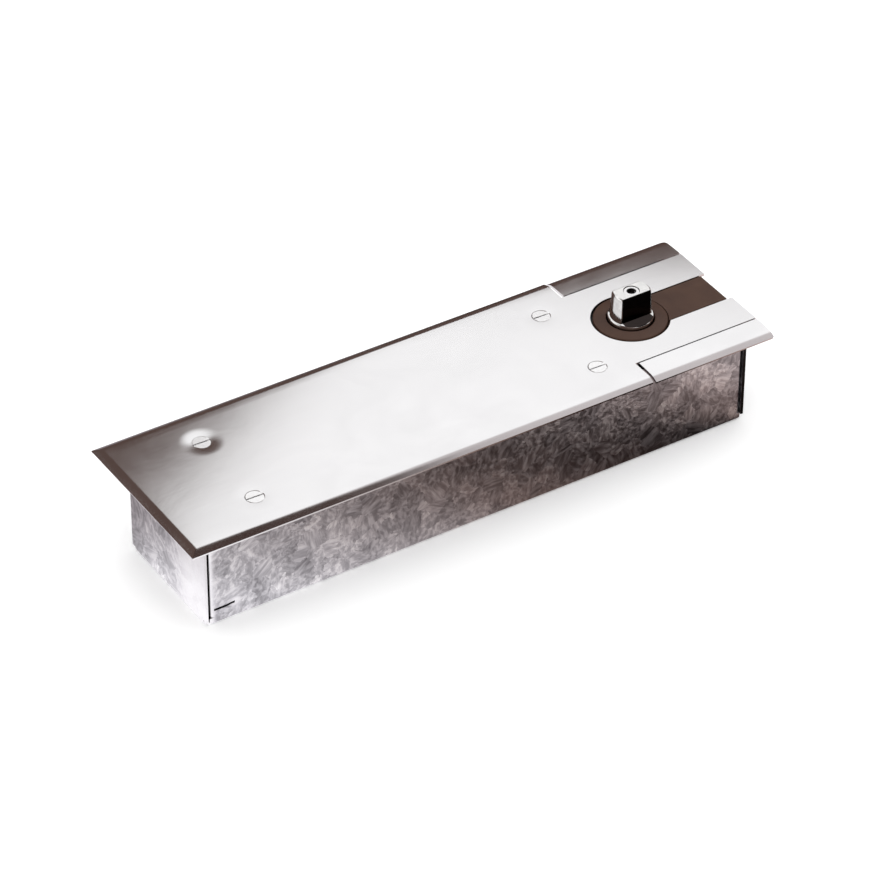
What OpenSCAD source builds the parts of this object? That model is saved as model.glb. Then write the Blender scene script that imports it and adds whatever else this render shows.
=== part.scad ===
// Floor spring door closer: a cement box let into the floor, a cam-action hydraulic closer
// standing in it on levelling screws, and a stainless cover plate with the door's spindle.
// Millimetres. The origin is on the spindle's axis at the underside of the cement box,
// +X runs along the box towards the spindle's end, +Z is up. The mechanism's sizes come
// first: the housing is drawn round it, the box round the housing, the plate over the box.

/* [Shaft and spindle] */
// Radius of the shaft in the seal and the upper bearing
shaft_r = 12; // [10:0.1:14]
// How far the shoulder under the upper bearing stands out
shoulder_out = 1; // [0.6:0.1:2]
// Radius of the shaft in the lower bearing
journal_r = 9; // [7:0.1:10]
// How far the shoulder over the lower bearing stands out
waist_out = 2; // [1:0.1:2.4]
// Width across the square that drives the spindle
square_w = 11; // [8:0.1:13]
// Depth of the square socket in the shaft
square_l = 14; // [8:0.5:18]
// Room round the spindle's square foot
square_room = 0.1; // [0.05:0.05:0.2]
// How far the shaft's top lies below the plate's top
shaft_below = 0.5; // [0:0.1:1]
// How far the spindle's collar stands out from the shaft
collar_out = 0.7; // [0.2:0.1:1.5]
// Height of the collar above the plate's top
collar_up = 3; // [1.5:0.1:5]
// Height of the spindle above its collar
spindle_h = 15.5; // [12:0.5:30]
// From the collar's edge to the foot of the spindle's round ends
spindle_step = 1.2; // [0.4:0.1:2]
// How much the round ends' radius shrinks towards the top
spindle_taper = 0.8; // [0.3:0.1:1.5]
// Wall between the bolt's head and each flat at the top
flat_wall = 0.6; // [0.4:0.1:2]
// How much thicker the spindle is across its flats at the bottom
flat_taper = 1; // [0.4:0.1:2]
// Chamfer of the spindle's top
spindle_chamfer = 0.7; // [0.2:0.1:1]
// Diameter of the bolt through the spindle
bolt_d = 5; // [4:0.5:6]
// Diameter of the bolt's head
bolt_head_d = 8.5; // [7.5:0.1:10]
// Height of the bolt's head
bolt_head_h = 4.6; // [3:0.1:6]
// How far the bolt's head lies below the spindle's top
bolt_sunk = 0.4; // [0:0.1:2]
// Radial room round the bolt's head
bolt_room = 0.25; // [0.1:0.05:0.5]
// Width across the flats of the bolt's hexagon socket
bolt_hex = 4; // [3:0.5:5]

/* [Cam and roller] */
// Travel of the roller for each radian of the spindle
cam_rate = 7.4; // [6:0.1:8.4]
// Angle each way over which the cam works
cam_live = 135; // [131:1:145]
// Thickness of the cam
cam_t = 14; // [10:0.5:18]
// Least room between the cam and its chamber
cam_room = 1; // [0.6:0.1:2]
// Radius of the roller's pin
pin_r = 4; // [3.5:0.1:5]
// Wall of the roller's bush
bush_wall = 1.5; // [1:0.1:2]
// Wall of the roller round its bush
roller_wall = 4.5; // [3.5:0.1:5.5]
// Room at each face of the roller
roller_side = 0.2; // [0.1:0.1:0.4]
// Wall of the fork's eyes round the pin
eye_wall = 2.2; // [1.6:0.1:3]
// Room between the fork's eyes and the shaft
eye_room = 0.8; // [0.5:0.1:2]
// Thickness of each fork arm
arm_t = 4.5; // [3:0.1:6]
// Room beside the cam and over the bearings
side_room = 0.5; // [0.3:0.1:0.8]

/* [Bearings] */
// Section of the upper bearing, from its bore to its rim
upper_section = 9; // [8:0.1:11]
// Width of the upper bearing
upper_w = 9; // [7:0.1:11]
// Radius of the upper bearing's balls
upper_ball_r = 2.6; // [2:0.1:2.9]
// Number of the upper bearing's balls
upper_balls = 12; // [8:1:13]
// Section of the lower bearing, from its bore to its rim
lower_section = 7.5; // [7:0.1:9]
// Width of the lower bearing
lower_w = 8; // [6:0.1:10]
// Radius of the lower bearing's balls
lower_ball_r = 2.3; // [1.8:0.1:2.5]
// Number of the lower bearing's balls
lower_balls = 10; // [7:1:11]
// Room between the cage and the balls
cage_room = 0.12; // [0.1:0.02:0.2]
// Thickness of the cages
cage_wall = 1.6; // [1.2:0.1:2]

/* [Piston and spring] */
// Radius of the piston's bore
bore_r = 21; // [19:0.1:24]
// Length of the piston's body
piston_l = 43.5; // [36:0.5:60]
// Room between the roller and the piston's body
roller_room = 1.5; // [1:0.1:3]
// Length of the closing spring with the door shut
spring_l = 173; // [160:1:220]
// Radius of the spring's wire
wire_r = 3.5; // [2.5:0.1:3.8]
// Number of the spring's turns
spring_turns = 18; // [12:1:19]
// Room between the spring and the bore
spring_room = 1.25; // [0.6:0.05:2]
// Room between the spring and the spigot inside it
spigot_room = 0.45; // [0.2:0.05:1]
// Length of the spigot
spigot_l = 12; // [6:1:20]
// Depth of the piston's seal groove
ring_depth = 2.3; // [1.5:0.1:3]
// Width of the piston's seal
ring_w = 3; // [2:0.1:5]
// From the piston's rear face to its seal
ring_in = 12; // [6:1:20]
// Radius of the check valve's ball
check_ball_r = 3.2; // [2.6:0.1:4]
// Radius of the check valve's passage
check_r = 2; // [1.4:0.1:2.4]
// Lift of the check valve's ball
check_lift = 1; // [0.6:0.1:2]
// Length of the check valve's retainer
retainer_l = 5.1; // [3:0.1:7]

/* [Housing] */
// Height of the housing above the underside of the box
housing_lift = 4; // [2.5:0.1:4.2]
// Wall under the piston's bore
bore_floor = 4; // [3:0.1:6]
// Floor under the lower bearing
seat_floor = 4.5; // [3:0.1:7]
// Wall between the piston's bore and the lower bearing's seat
seat_wall = 4; // [2:0.1:4.5]
// Wall round the cam's chamber
head_wall = 5.5; // [4:0.1:9]
// Wall of the spring tube
tube_wall = 3.6; // [3:0.1:6]
// How far the tube's base stands out on each side
base_out = 3.4; // [2:0.1:4]
// Height of the tube's base
base_h = 12; // [10:0.5:16]
// Height of the far feet above the housing's underside
foot_up = 4; // [3.6:0.1:6]
// Thickness of the far feet
foot_t = 10; // [7:0.5:14]
// Length of the plug at the tube's end
plug_l = 14; // [12:0.5:24]
// Radius of the columns that carry the cover screws
column_r = 6; // [5:0.1:6.4]
// Metal outside the columns
column_edge = 0.5; // [0.3:0.1:2]
// From the tube's far end to the axis of the columns there
column_in = 9; // [7:0.5:14]
// Radius of the oil channels
channel_r = 2; // [1.4:0.1:2.4]
// Wall between an oil channel and the lower bearing
channel_wall = 2.5; // [1.5:0.1:4]
// Radius of a flow valve's bore
valve_r = 3.4; // [3:0.1:4]
// Diameter of the oil filler plug
filler_d = 8; // [6:1:10]

/* [Lid] */
// Room between the fork and the lid's hub
hub_room = 2; // [1:0.1:5]
// Wall of the lid's hub round the bearing
hub_wall = 3.5; // [2:0.1:3.9]
// Thickness of the lid's flange
lid_t = 5.5; // [4.5:0.1:8]
// How far the lid reaches past the chamber
lid_lap = 4.5; // [4:0.1:8]
// Step between the lid's and the head's long sides
lid_step = 0.5; // [0.2:0.1:1]
// Room at each end of the lid
lid_room = 0.2; // [0.1:0.1:0.5]
// Thickness of the gasket
gasket_t = 0.5; // [0.3:0.1:1]
// From the lid's edges to its screws
lid_screw_in = 5.5; // [5:0.1:6]
// Diameter of a lid screw
lid_screw_d = 5; // [4:0.5:5]
// Length of a lid screw
lid_screw_l = 16; // [10:1:24]
// Web between the bearing and the shaft seal
lid_web = 2; // [1.5:0.1:4]
// Section of the shaft seal
seal_section = 5; // [4:0.1:6]
// Height of the shaft seal
seal_h = 5.5; // [4:0.1:8]
// Wall of the lid's neck round the seal
neck_wall = 2; // [1.2:0.1:3]
// How far the neck stands above the seal
neck_over = 0.5; // [0.2:0.1:1.5]

/* [Setting screws] */
// Diameter of the levelling and clamp screws
set_d = 6; // [5:0.5:6]
// Length of a levelling screw
level_l = 18.5; // [16:0.5:28]
// Radius of a clamp screw's head
clamp_head_r = 5; // [4.5:0.1:5.5]
// Height of a clamp screw's head
clamp_head_h = 6; // [4:0.1:7]
// Height of the clamp screw's seat in the head, above the underside of the box
clamp_seat = 20; // [14:0.5:30]
// Width across the flats of a welded nut
nut_w = 10; // [9:0.5:10]
// Height of a welded nut
nut_h = 5; // [3:0.1:5.5]
// Wall between two of the head's upright bores
bore_wall = 1; // [0.8:0.1:2]
// Wall between the lid's recess and the front clamp screw's bore
recess_wall = 0.6; // [0.5:0.1:2]
// Wall between the front clamp screw's bore and the head's front
front_wall = 1.8; // [1.6:0.1:4]
// Between the clamp screw and the levelling screw of a far foot
foot_screws = 9.5; // [9:0.5:14]
// From a far foot's end to its levelling screw
foot_edge = 6; // [4:0.5:9]
// From the tube's end to the clamp screw of a far foot
clamp_in = 6.5; // [6:0.5:10]

/* [Cement box] */
// Sheet of the cement box
box_sheet = 1.5; // [1:0.1:2]
// Outer radius of the box's folds
box_fold_r = 3; // [2.4:0.1:4]
// Open gap between two folded edges at a corner
box_corner_gap = 0.8; // [0.4:0.1:1.5]
// Length of the tab behind each end panel
box_tab = 14; // [8:1:18]
// Room between the head and the box's long sides
box_side_room = 3.5; // [2:0.1:8]
// Room between the head and the tabs at the spindle's end
box_near_room = 0.7; // [0.5:0.1:4]
// Room between the far feet and the tabs at the far end
box_far_room = 2.7; // [0.5:0.1:20]
// Length of the slit near each long side's end
slit_l = 12.7; // [6:0.1:20]
// Height of the slit
slit_h = 1.4; // [0.8:0.1:2.4]
// Height of the slit's middle above the underside
slit_z = 10; // [8:0.5:20]
// From the box's far end to the slit
slit_from_end = 5; // [4:0.5:12]
// Radius of the pressed dimple at the slit's end
slit_dimple_r = 5; // [3:0.5:7]
// Depth of the pressed dimple at the slit's end
slit_dimple_d = 0.6; // [0.3:0.1:1]

/* [Cover plate] */
// Sheet of the cover plate
plate_sheet = 1.5; // [1.2:0.1:2]
// How far the plate's top lies above the housing's head
plate_over_head = 5.5; // [5:0.1:9]
// How far the plate's top lies above the lid's neck
plate_over_neck = 3; // [2.6:0.1:6]
// Room between the box's top edge and the plate's underside
plate_room = 2; // [1.5:0.1:3.5]
// How far the plate reaches past the box at the far end
plate_lap_far = 14.3; // [8:0.1:24]
// How far the plate reaches past the box at the spindle's end
plate_lap_near = 7.6; // [5:0.1:16]
// How far the plate reaches past the box on each long side
plate_lap_side = 14.25; // [9:0.05:24]
// Width of the rolled-down rim
rim_w = 5.5; // [4:0.1:7]
// How far the rim's upper edge lies below the plate's top
rim_drop = 1.8; // [1.2:0.1:2.4]
// Gap between the spindle's cover and the plate's round hole
hole_gap = 1.1; // [0.4:0.1:2]
// How much wider than the spindle's collar the plate's slot is, on each side
slot_room = 0.5; // [0.2:0.1:3]
// From the spindle's axis back to the side strips' inner ends
strip_from = 19.8; // [10:0.1:26]
// From the box's long side in to a side strip's inner edge
strip_in = 2.3; // [1.8:0.1:5]
// Joint between the plate and a side strip
strip_joint = 0.7; // [0.4:0.1:1.2]
// Wider joint at a side strip's inner end
strip_end_joint = 1.4; // [0.6:0.1:3]
// How far a side strip leans outwards, in degrees
strip_lean = 2; // [0:0.1:3]
// Rounding of a side strip's outer corner
strip_round = 2; // [1:0.1:4]
// Sheet of the clip that is welded under a side strip
clip_sheet = 1.5; // [1:0.1:1.8]
// Depth of the clip's leg inside the box
clip_leg = 12; // [6:1:20]
// Room between the clip's leg and the box's wall
clip_room = 0.2; // [0.1:0.1:0.4]

/* [Cover screws] */
// Diameter of a cover screw's head
screw_head_d = 10.8; // [9:0.1:11.4]
// Diameter of a cover screw's thread
screw_d = 6; // [5:0.5:6]
// Length of a cover screw
screw_l = 17; // [12:1:22]
// Width of a screw's slot
screw_slot = 1.4; // [0.8:0.1:2]
// Depth of a screw's slot
screw_slot_d = 1.35; // [0.8:0.05:1.6]
// Radius of the pressed dimple round a screw
dimple_r = 9; // [7.5:0.1:11]
// Depth of the pressed dimple
dimple_drop = 0.5; // [0.3:0.1:0.8]
// Width of the pressed dimple's slope
dimple_slope = 3; // [1:0.1:3.3]

/* [Slot insert and spindle cover] */
// Joint between the slot insert and the plate
insert_joint = 0.7; // [0.4:0.1:1.2]
// How far the insert's end stays inside the plate's end
insert_back = 2.9; // [0:0.1:6]
// How far the insert's top lies below the plate's top
insert_below = 0.1; // [0:0.1:0.4]
// Room between the insert and the box's end panel
insert_room = 0.3; // [0.2:0.1:0.6]
// Wall of the insert
insert_wall = 2; // [1.4:0.1:2.4]
// Width of the lip that holds the insert under the plate
insert_lip = 2.6; // [1:0.1:4]
// Wall of the spindle cover's skirt
cover_wall = 1.6; // [1:0.1:2.4]
// Height of the cover's edge above the plate's top
cover_edge = 0.3; // [0:0.1:1.5]
// Rise of the cover's dome above its edge
cover_rise = 0.7; // [0.2:0.1:1.6]
// Rounding of the cover's edges
cover_round = 0.4; // [0.2:0.1:0.6]
// Room between the cover and the spindle's collar
cover_room = 0.6; // [0.3:0.1:1.5]

/* [Fits] */
// Radial room of a running fit
run_gap = 0.05; // [0.03:0.01:0.08]
// Radial room of a pressed or seated fit
press_gap = 0.02; // [0.01:0.01:0.04]
// Radial room of a screw in its thread
thread_gap = 0.05; // [0.03:0.01:0.08]
// Radial room of a screw in a clear hole
clear_gap = 0.6; // [0.3:0.1:1]

/* [Hidden] */
$fn = 72;
eps = 0.01;   // overlap that joins two shapes of one solid
past = 1;     // how far a cutting shape runs past the face that it opens

// Shaft, cam, roller and fork
shoulder_r = shaft_r + shoulder_out;
waist_r = journal_r + waist_out;
eye_r = pin_r + eye_wall;
roller_r = pin_r + bush_wall + roller_wall;
roller_rest = shoulder_r + eye_room + eye_r;
cam_max_r = roller_rest + cam_rate * cam_live * PI / 180 - roller_r;
chamber_r = ceil(2 * (cam_max_r + cam_room)) / 2;
upper_r = shaft_r + upper_section;
lower_r = journal_r + lower_section;
upper_pitch_r = (shaft_r + upper_r) / 2;
lower_pitch_r = (journal_r + lower_r) / 2;
seal_r = shaft_r + seal_section;
neck_r = seal_r + neck_wall;
cover_r = neck_r + cover_wall;
plate_hole_r = cover_r + hole_gap;
collar_r = shaft_r + collar_out;
plate_slot_w = 2 * (collar_r + slot_room);

// Heights, from the underside of the cement box
fork_half = cam_t / 2 + side_room + arm_t;
bore_z = housing_lift + max(bore_floor + bore_r, seat_floor + lower_w + side_room + fork_half);
cam_low = bore_z - cam_t / 2;
cam_high = bore_z + cam_t / 2;
arm_low = bore_z - fork_half;
arm_high = bore_z + fork_half;
lower_high = arm_low - side_room;
lower_low = lower_high - lower_w;
lid_low = max(arm_high + hub_room + side_room + upper_w, bore_z + bore_r + gasket_t + 2);
upper_low = lid_low - upper_w;
hub_low = upper_low - side_room;
seal_low = lid_low + lid_web;
neck_top = seal_low + seal_h + neck_over;
head_top = lid_low + lid_t;
plate_top = max(head_top + plate_over_head, neck_top + plate_over_neck);
plate_under = plate_top - plate_sheet;
box_h = plate_under - plate_room;
shaft_top = plate_top - shaft_below;
collar_top = plate_top + collar_up;
spindle_top = collar_top + spindle_h;
dimple_z = plate_top - dimple_drop;
column_top = plate_under - dimple_drop;
filler_z = cam_high + 2;
channel_up = (seat_floor + bore_floor + channel_r + 1.5) / 2;
valve_low = housing_lift + channel_up - channel_r;
foot_low = housing_lift + foot_up;

// Places along the box
piston_x1 = -roller_rest - roller_r - roller_room;
piston_x0 = piston_x1 - piston_l;
plug_x = piston_x0 - spring_l;
tube_x0 = plug_x - plug_l;
recess_x = chamber_r + lid_lap + lid_room;
screw_near_x = -recess_x - column_r - 2 * gasket_t + lid_room;
head_x0 = screw_near_x - column_r - column_edge;
sink_r_clamp = clamp_head_r + lid_room;
front_x = recess_x + recess_wall + sink_r_clamp;
head_x1 = front_x + sink_r_clamp + front_wall;
lid_x = recess_x - lid_room;
foot_x0 = tube_x0 - clamp_in - foot_screws - foot_edge;
foot_x1 = tube_x0 + 2 * column_in;
level_far_x = foot_x0 + foot_edge;
clamp_far_x = tube_x0 - clamp_in;
tab_x1 = head_x1 + box_near_room;
tab_x0 = foot_x0 - box_far_room;
box_x1 = tab_x1 + 2 * box_sheet + box_corner_gap;
box_x0 = tab_x0 - 2 * box_sheet - box_corner_gap;
plate_x0 = box_x0 - plate_lap_far;
plate_x1 = box_x1 + plate_lap_near;
insert_x1 = plate_x1 - insert_back;

// Places across the box
channel_y = lower_r + channel_wall + channel_r;
front_level_y = channel_y + valve_r + bore_wall + set_d / 2 + clear_gap;
head_half = max(chamber_r + head_wall, front_level_y + set_d / 2 + 2 * bore_wall);
lid_half = head_half - lid_step;
column_y = head_half - column_r - column_edge;
box_half = head_half + box_side_room + box_sheet;
plate_half = box_half + plate_lap_side;
strip_y = box_half - strip_in;

// Where screws stand, as points of the XY plane
cover_screws_at = [for (x = [screw_near_x, tube_x0 + column_in], s = [-1, 1])
    [x, s * column_y]];
lid_screws_at = [for (x = [-1, 1], y = [-1, 1])
    [x * (lid_x - lid_screw_in), y * (lid_half - lid_screw_in)]];
levels_front_at = [for (s = [-1, 1]) [front_x, s * front_level_y]];
levels_far_at = [for (s = [-1, 1]) [level_far_x, s * column_y]];
clamps_far_at = [for (s = [-1, 1]) [clamp_far_x, s * column_y]];
clamp_front_at = [[front_x, 0]];

// Rolled rim: an arc that starts level and drops by rim_drop over rim_w
rim_r = (rim_w * rim_w + rim_drop * rim_drop) / (2 * rim_drop);
rim_a = 2 * atan(rim_drop / rim_w);

// Radius of the countersink for a cover screw's head, at height z
function sink_r(z) = screw_head_d / 2 + thread_gap + z - dimple_z;

// Spindle: its round ends, and its thickness across the flats
spindle_r_low = collar_r - spindle_step;
spindle_r_top = spindle_r_low - spindle_taper;
flat_top = bolt_head_d + 2 * (bolt_room + flat_wall);
flat_low = flat_top + flat_taper;

// Spring, spigot and plug
spring_r = bore_r - wire_r - spring_room;
spigot_r = spring_r - wire_r - spigot_room;

// Check valve: the ball's middle stands check_seat in front of its passage's mouth
check_seat = sqrt(pow(check_ball_r, 2) - pow(check_r, 2));
retainer_x1 = piston_x1 - 0.3;
retainer_x0 = retainer_x1 - retainer_l;
check_x = retainer_x0 - check_lift - 0.4 - check_ball_r - check_seat;

// Seals: width of a groove for a round cord, and the cord's radius
groove_w = 2.6;
cord_r = 1.15;

// ---------- Shapes that several pieces share ----------

// A cylinder along X, from x0 to x1, about y and z
module x_rod(x0, x1, r, y = 0, z = 0, r2 = undef) {
    translate([x0, y, z])
        rotate([0, 90, 0])
            cylinder(h = x1 - x0, r1 = r, r2 = is_undef(r2) ? r : r2);
}

// A cylinder along Z, from z0 to z1
module z_rod(z0, z1, r, r2 = undef) {
    translate([0, 0, z0])
        cylinder(h = z1 - z0, r1 = r, r2 = is_undef(r2) ? r : r2);
}

// A block between two corners
module block(low, high) {
    translate(low)
        cube(high - low);
}

// Copies of a shape at points of the XY plane
module at_each(points) {
    for (p = points)
        translate([p[0], p[1], 0])
            children();
}

// A hexagonal prism, w across its flats
module hexagon(z0, z1, w) {
    translate([0, 0, z0])
        cylinder(h = z1 - z0, r = w / sqrt(3), $fn = 6);
}

// A square-cornered ring about Z
module collar(z0, z1, r_in, r_out) {
    translate([0, 0, z0])
        rotate_extrude()
            translate([r_in, 0])
                square([r_out - r_in, z1 - z0]);
}

// A sealing ring about X: a round cord in its groove
module cord_ring(x, r) {
    translate([x, 0, bore_z])
        rotate([0, 90, 0])
            rotate_extrude()
                translate([r, 0])
                    circle(r = cord_r, $fn = 32);
}

// A quarter of a folded sheet's section: its outer corner is at the origin, its legs
// leave along +X and +Y
module fold_section(r, t) {
    intersection() {
        translate([r, r])
            difference() {
                circle(r = r);
                circle(r = r - t);
            }
        square([r, r]);
    }
}

// Countersunk screw with a slot, its head's face at z = 0
module slotted_screw(head_d, d, l, slot_w, slot_d) {
    r = d / 2 - thread_gap;
    difference() {
        union() {
            z_rod(r - head_d / 2, 0, r, head_d / 2);
            z_rod(-l, r - head_d / 2, r);
        }
        block([-head_d, -slot_w / 2, -slot_d], [head_d, slot_w / 2, past]);
    }
}

// Socket-head screw, its head resting at z = 0
module cap_screw(head_r, head_h, d, l, hex) {
    difference() {
        union() {
            z_rod(0, head_h, head_r);
            z_rod(-l, 0, d / 2 - thread_gap);
        }
        hexagon(head_h - 0.6 * hex, head_h + past, hex);
    }
}

// Headless screw with a hexagon socket, from z = 0 up
module grub_screw(d, l, hex) {
    r = d / 2 - thread_gap;
    difference() {
        union() {
            z_rod(0, 1, r - 1, r);
            z_rod(1, l, r);
        }
        hexagon(l - hex, l + past, hex);
    }
}

// ---------- Cement box ----------

// One long side: the wall with its fold to the floor, and a tab folded in behind each
// end panel. The wall's outer face is on y = -box_half
module box_side() {
    x0 = box_x0 + box_sheet + box_corner_gap;
    x1 = box_x1 - box_sheet - box_corner_gap;
    tab_low = box_fold_r + 2;
    // fold to the floor, along X
    translate([x0, -box_half, 0])
        rotate([90, 0, 90])
            linear_extrude(x1 - x0)
                fold_section(box_fold_r, box_sheet);
    // wall between the two upright folds, and its foot below the tabs
    block([x0 + box_fold_r, -box_half, box_fold_r],
        [x1 - box_fold_r, -box_half + box_sheet, box_h]);
    block([x0, -box_half, box_fold_r], [x1, -box_half + box_sheet, tab_low]);
    for (end = [[x0, 0], [x1, 1]])
        translate([end[0], -box_half, tab_low])
            mirror([end[1], 0, 0])
                linear_extrude(box_h - tab_low) {
                    fold_section(box_fold_r, box_sheet);
                    translate([0, box_fold_r])
                        square([box_sheet, box_tab - box_fold_r]);
                }
}

// One end panel: folded up from the floor, full width above the side's folds
module box_end_panel() {
    half = box_half - box_fold_r - 0.2;
    translate([0, half, 0])
        rotate([90, 0, 0])
            linear_extrude(2 * half) {
                fold_section(box_fold_r, box_sheet);
                translate([0, box_fold_r])
                    square([box_sheet, 1]);
            }
    block([0, -box_half, box_fold_r + 0.4], [box_sheet, box_half, box_h]);
}

// The slit near a long side's end, with the dimple that its punch leaves
module box_slit() {
    x = box_x0 + slit_from_end;
    block([x, -box_half - past, slit_z - slit_h / 2],
        [x + slit_l, -box_half + box_sheet + past, slit_z + slit_h / 2]);
    // a shallow round pocket: a sphere that dips below the wall's face
    ball = (pow(slit_dimple_r, 2) + pow(slit_dimple_d, 2)) / (2 * slit_dimple_d);
    translate([x + slit_l, -box_half + slit_dimple_d - ball, slit_z])
        sphere(r = ball);
}

module cement_box() {
    color("silver")
        difference() {
            union() {
                block([box_x0 + box_fold_r, -box_half + box_fold_r, 0],
                    [box_x1 - box_fold_r, box_half - box_fold_r, box_sheet]);
                for (s = [0, 1])
                    mirror([0, s, 0])
                        box_side();
                translate([box_x0, 0, 0])
                    box_end_panel();
                translate([box_x1, 0, 0])
                    mirror([1, 0, 0])
                        box_end_panel();
            }
            for (s = [0, 1])
                mirror([0, s, 0])
                    box_slit();
        }
}

module box_nuts() {
    color("silver")
        at_each(concat(clamps_far_at, clamp_front_at))
            difference() {
                hexagon(box_sheet, box_sheet + nut_h, nut_w);
                z_rod(box_sheet - past, box_sheet + nut_h + past, set_d / 2);
            }
}

// ---------- Cover plate and what is let into it ----------

// Section under a surface that lies level and then rolls down to its edge at edge_x. The
// outer face (inner = 0) and the inner face (inner = 1) are arcs about one centre, and the
// sheet's end is cut square to them
module under_rim(edge_x, inner, deep) {
    r = rim_r - inner * plate_sheet;
    tip = rim_r - plate_sheet;
    translate([edge_x - rim_w, plate_top - rim_r]) {
        intersection() {
            circle(r = r, $fn = 144);
            polygon([[0, 0], [0, 2 * r], [2 * r * sin(rim_a), 2 * r * cos(rim_a)]]);
        }
        translate([0, -deep])
            square([tip * sin(rim_a) + inner * past, deep + tip * cos(rim_a)]);
    }
}

// Solid under the plate's top (inner = 0) or under its underside (inner = 1), rolled
// down along both long sides and the far end
module plate_form(inner) {
    deep = 4 + inner;
    top = plate_top - inner * plate_sheet;
    low = plate_top - rim_r - deep;
    long = plate_x1 - plate_x0;
    intersection() {
        translate([plate_x0 - past, 0, 0])
            rotate([90, 0, 90])
                linear_extrude(long + 2 * past) {
                    translate([-plate_half + rim_w, low])
                        square([2 * (plate_half - rim_w), top - low]);
                    for (s = [0, 1])
                        mirror([s, 0])
                            under_rim(plate_half, inner, deep);
                }
        translate([0, plate_half + past, 0])
            rotate([90, 0, 0])
                linear_extrude(2 * (plate_half + past)) {
                    translate([plate_x0 + rim_w, low])
                        square([long - rim_w + inner * past, top - low]);
                    mirror([1, 0])
                        under_rim(-plate_x0, inner, deep);
                }
    }
}

// The whole rolled sheet, before anything is cut from it
module rolled_sheet() {
    difference() {
        plate_form(0);
        plate_form(1);
    }
}

// The two corner notches that the side strips fill, or the strips' own outlines
module strip_zone(side, joint, end_joint) {
    x0 = -strip_from - end_joint;
    y0 = strip_y - joint;
    mirror([0, side, 0])
        block([x0, -plate_half - past, plate_top - 2 * rim_r],
            [plate_x1 + past, -y0, plate_top + past]);
}

// Pressed dimple round a cover screw: below the sheet (under = 1) and cut into it
module dimple(under) {
    drop = under * plate_sheet;
    r = dimple_r - under * plate_sheet / 4;
    top = plate_top - drop;
    z_rod(top - dimple_drop, top, r - dimple_slope, r);
    if (under == 0)
        z_rod(top, top + past, r);
}

module cover_plate() {
    color("gainsboro")
        difference() {
            union() {
                rolled_sheet();
                at_each(cover_screws_at)
                    z_rod(column_top, plate_under + eps, dimple_r - plate_sheet / 4 - dimple_slope,
                        dimple_r - plate_sheet / 4);
            }
            at_each(cover_screws_at) {
                dimple(0);
                z_rod(column_top - past, dimple_z + past, sink_r(column_top - past),
                    sink_r(dimple_z + past));
            }
            z_rod(plate_under - past, plate_top + past, plate_hole_r);
            block([0, -plate_slot_w / 2, plate_under - past],
                [plate_x1 + past, plate_slot_w / 2, plate_top + past]);
            for (s = [0, 1])
                strip_zone(s, strip_joint, strip_end_joint);
        }
}

// A side strip: the corner of the rolled sheet with an angle clip welded under it. The
// clip's ledge lies on the box's top edge and its leg reaches down inside the wall
module side_strip() {
    leg_y = -box_half + box_sheet + clip_room;
    clip_x0 = -strip_from + 6;
    clip_x1 = box_x1 - box_sheet - box_fold_r - 3;
    ledge_y = -box_half - 3 * box_sheet;
    // height of the leaning sheet's underside at y
    function under_y(y) = plate_top - plate_sheet / cos(strip_lean)
        + min(0, y + strip_y) * tan(strip_lean);
    // the sheet leans about its inner edge, which stays level with the plate
    translate([0, -strip_y, plate_top])
        rotate([strip_lean, 0, 0])
            translate([0, strip_y, -plate_top])
                intersection() {
                    rolled_sheet();
                    strip_zone(0, 0, 0);
                    // the outer corner is slightly rounded
                    union() {
                        block([-strip_from - past, -plate_half - past, 0],
                            [plate_x1 - strip_round, 0, plate_top + past]);
                        block([-strip_from - past, -plate_half + strip_round, 0],
                            [plate_x1 + past, 0, plate_top + past]);
                        translate([plate_x1 - strip_round, -plate_half + strip_round, 0])
                            z_rod(0, plate_top + past, strip_round);
                    }
                }
    // the angle clip: its ledge follows the sheet's underside, its leg stands in the box
    translate([clip_x0, 0, 0])
        rotate([90, 0, 90])
            linear_extrude(clip_x1 - clip_x0)
                polygon([
                    [ledge_y, under_y(ledge_y) + eps], [ledge_y, box_h],
                    [leg_y, box_h], [leg_y, box_h - clip_leg],
                    [leg_y + clip_sheet, box_h - clip_leg],
                    [leg_y + clip_sheet, plate_under - clip_room],
                    [-strip_y - clip_room, plate_under - clip_room],
                    [-strip_y - clip_room, under_y(-strip_y) + eps],
                ]);
}

module front_side_strip() {
    color("gainsboro")
        side_strip();
}

module rear_side_strip() {
    color("gainsboro")
        mirror([0, 1, 0])
            side_strip();
}

// The insert's outline, from the spindle cover's hole to just inside the plate's end
module insert_outline(half, x1) {
    difference() {
        translate([0, -half])
            square([x1, 2 * half]);
        circle(r = plate_hole_r - insert_joint);
    }
}

module slot_insert() {
    half = plate_slot_w / 2 - insert_joint;
    top = plate_top - insert_below;
    lip_high = plate_under;
    lip_low = box_h + insert_room;
    skirt_x1 = head_x1 - 1.5;
    color([0.32, 0.25, 0.22])
        difference() {
            union() {
                translate([0, 0, lip_low])
                    linear_extrude(top - lip_low)
                        insert_outline(half, insert_x1);
                // lips under the plate on both sides
                translate([0, 0, lip_low])
                    linear_extrude(lip_high - lip_low)
                        insert_outline(plate_slot_w / 2 + insert_lip, insert_x1 - 4);
                // skirts that stand on the housing's head
                translate([0, 0, head_top])
                    linear_extrude(lip_low - head_top + eps)
                        insert_outline(half, skirt_x1);
            }
            // hollow below
            block([plate_hole_r + insert_wall, -half + insert_wall, head_top - past],
                [skirt_x1 - insert_wall, half - insert_wall, top - insert_wall]);
        }
}

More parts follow.
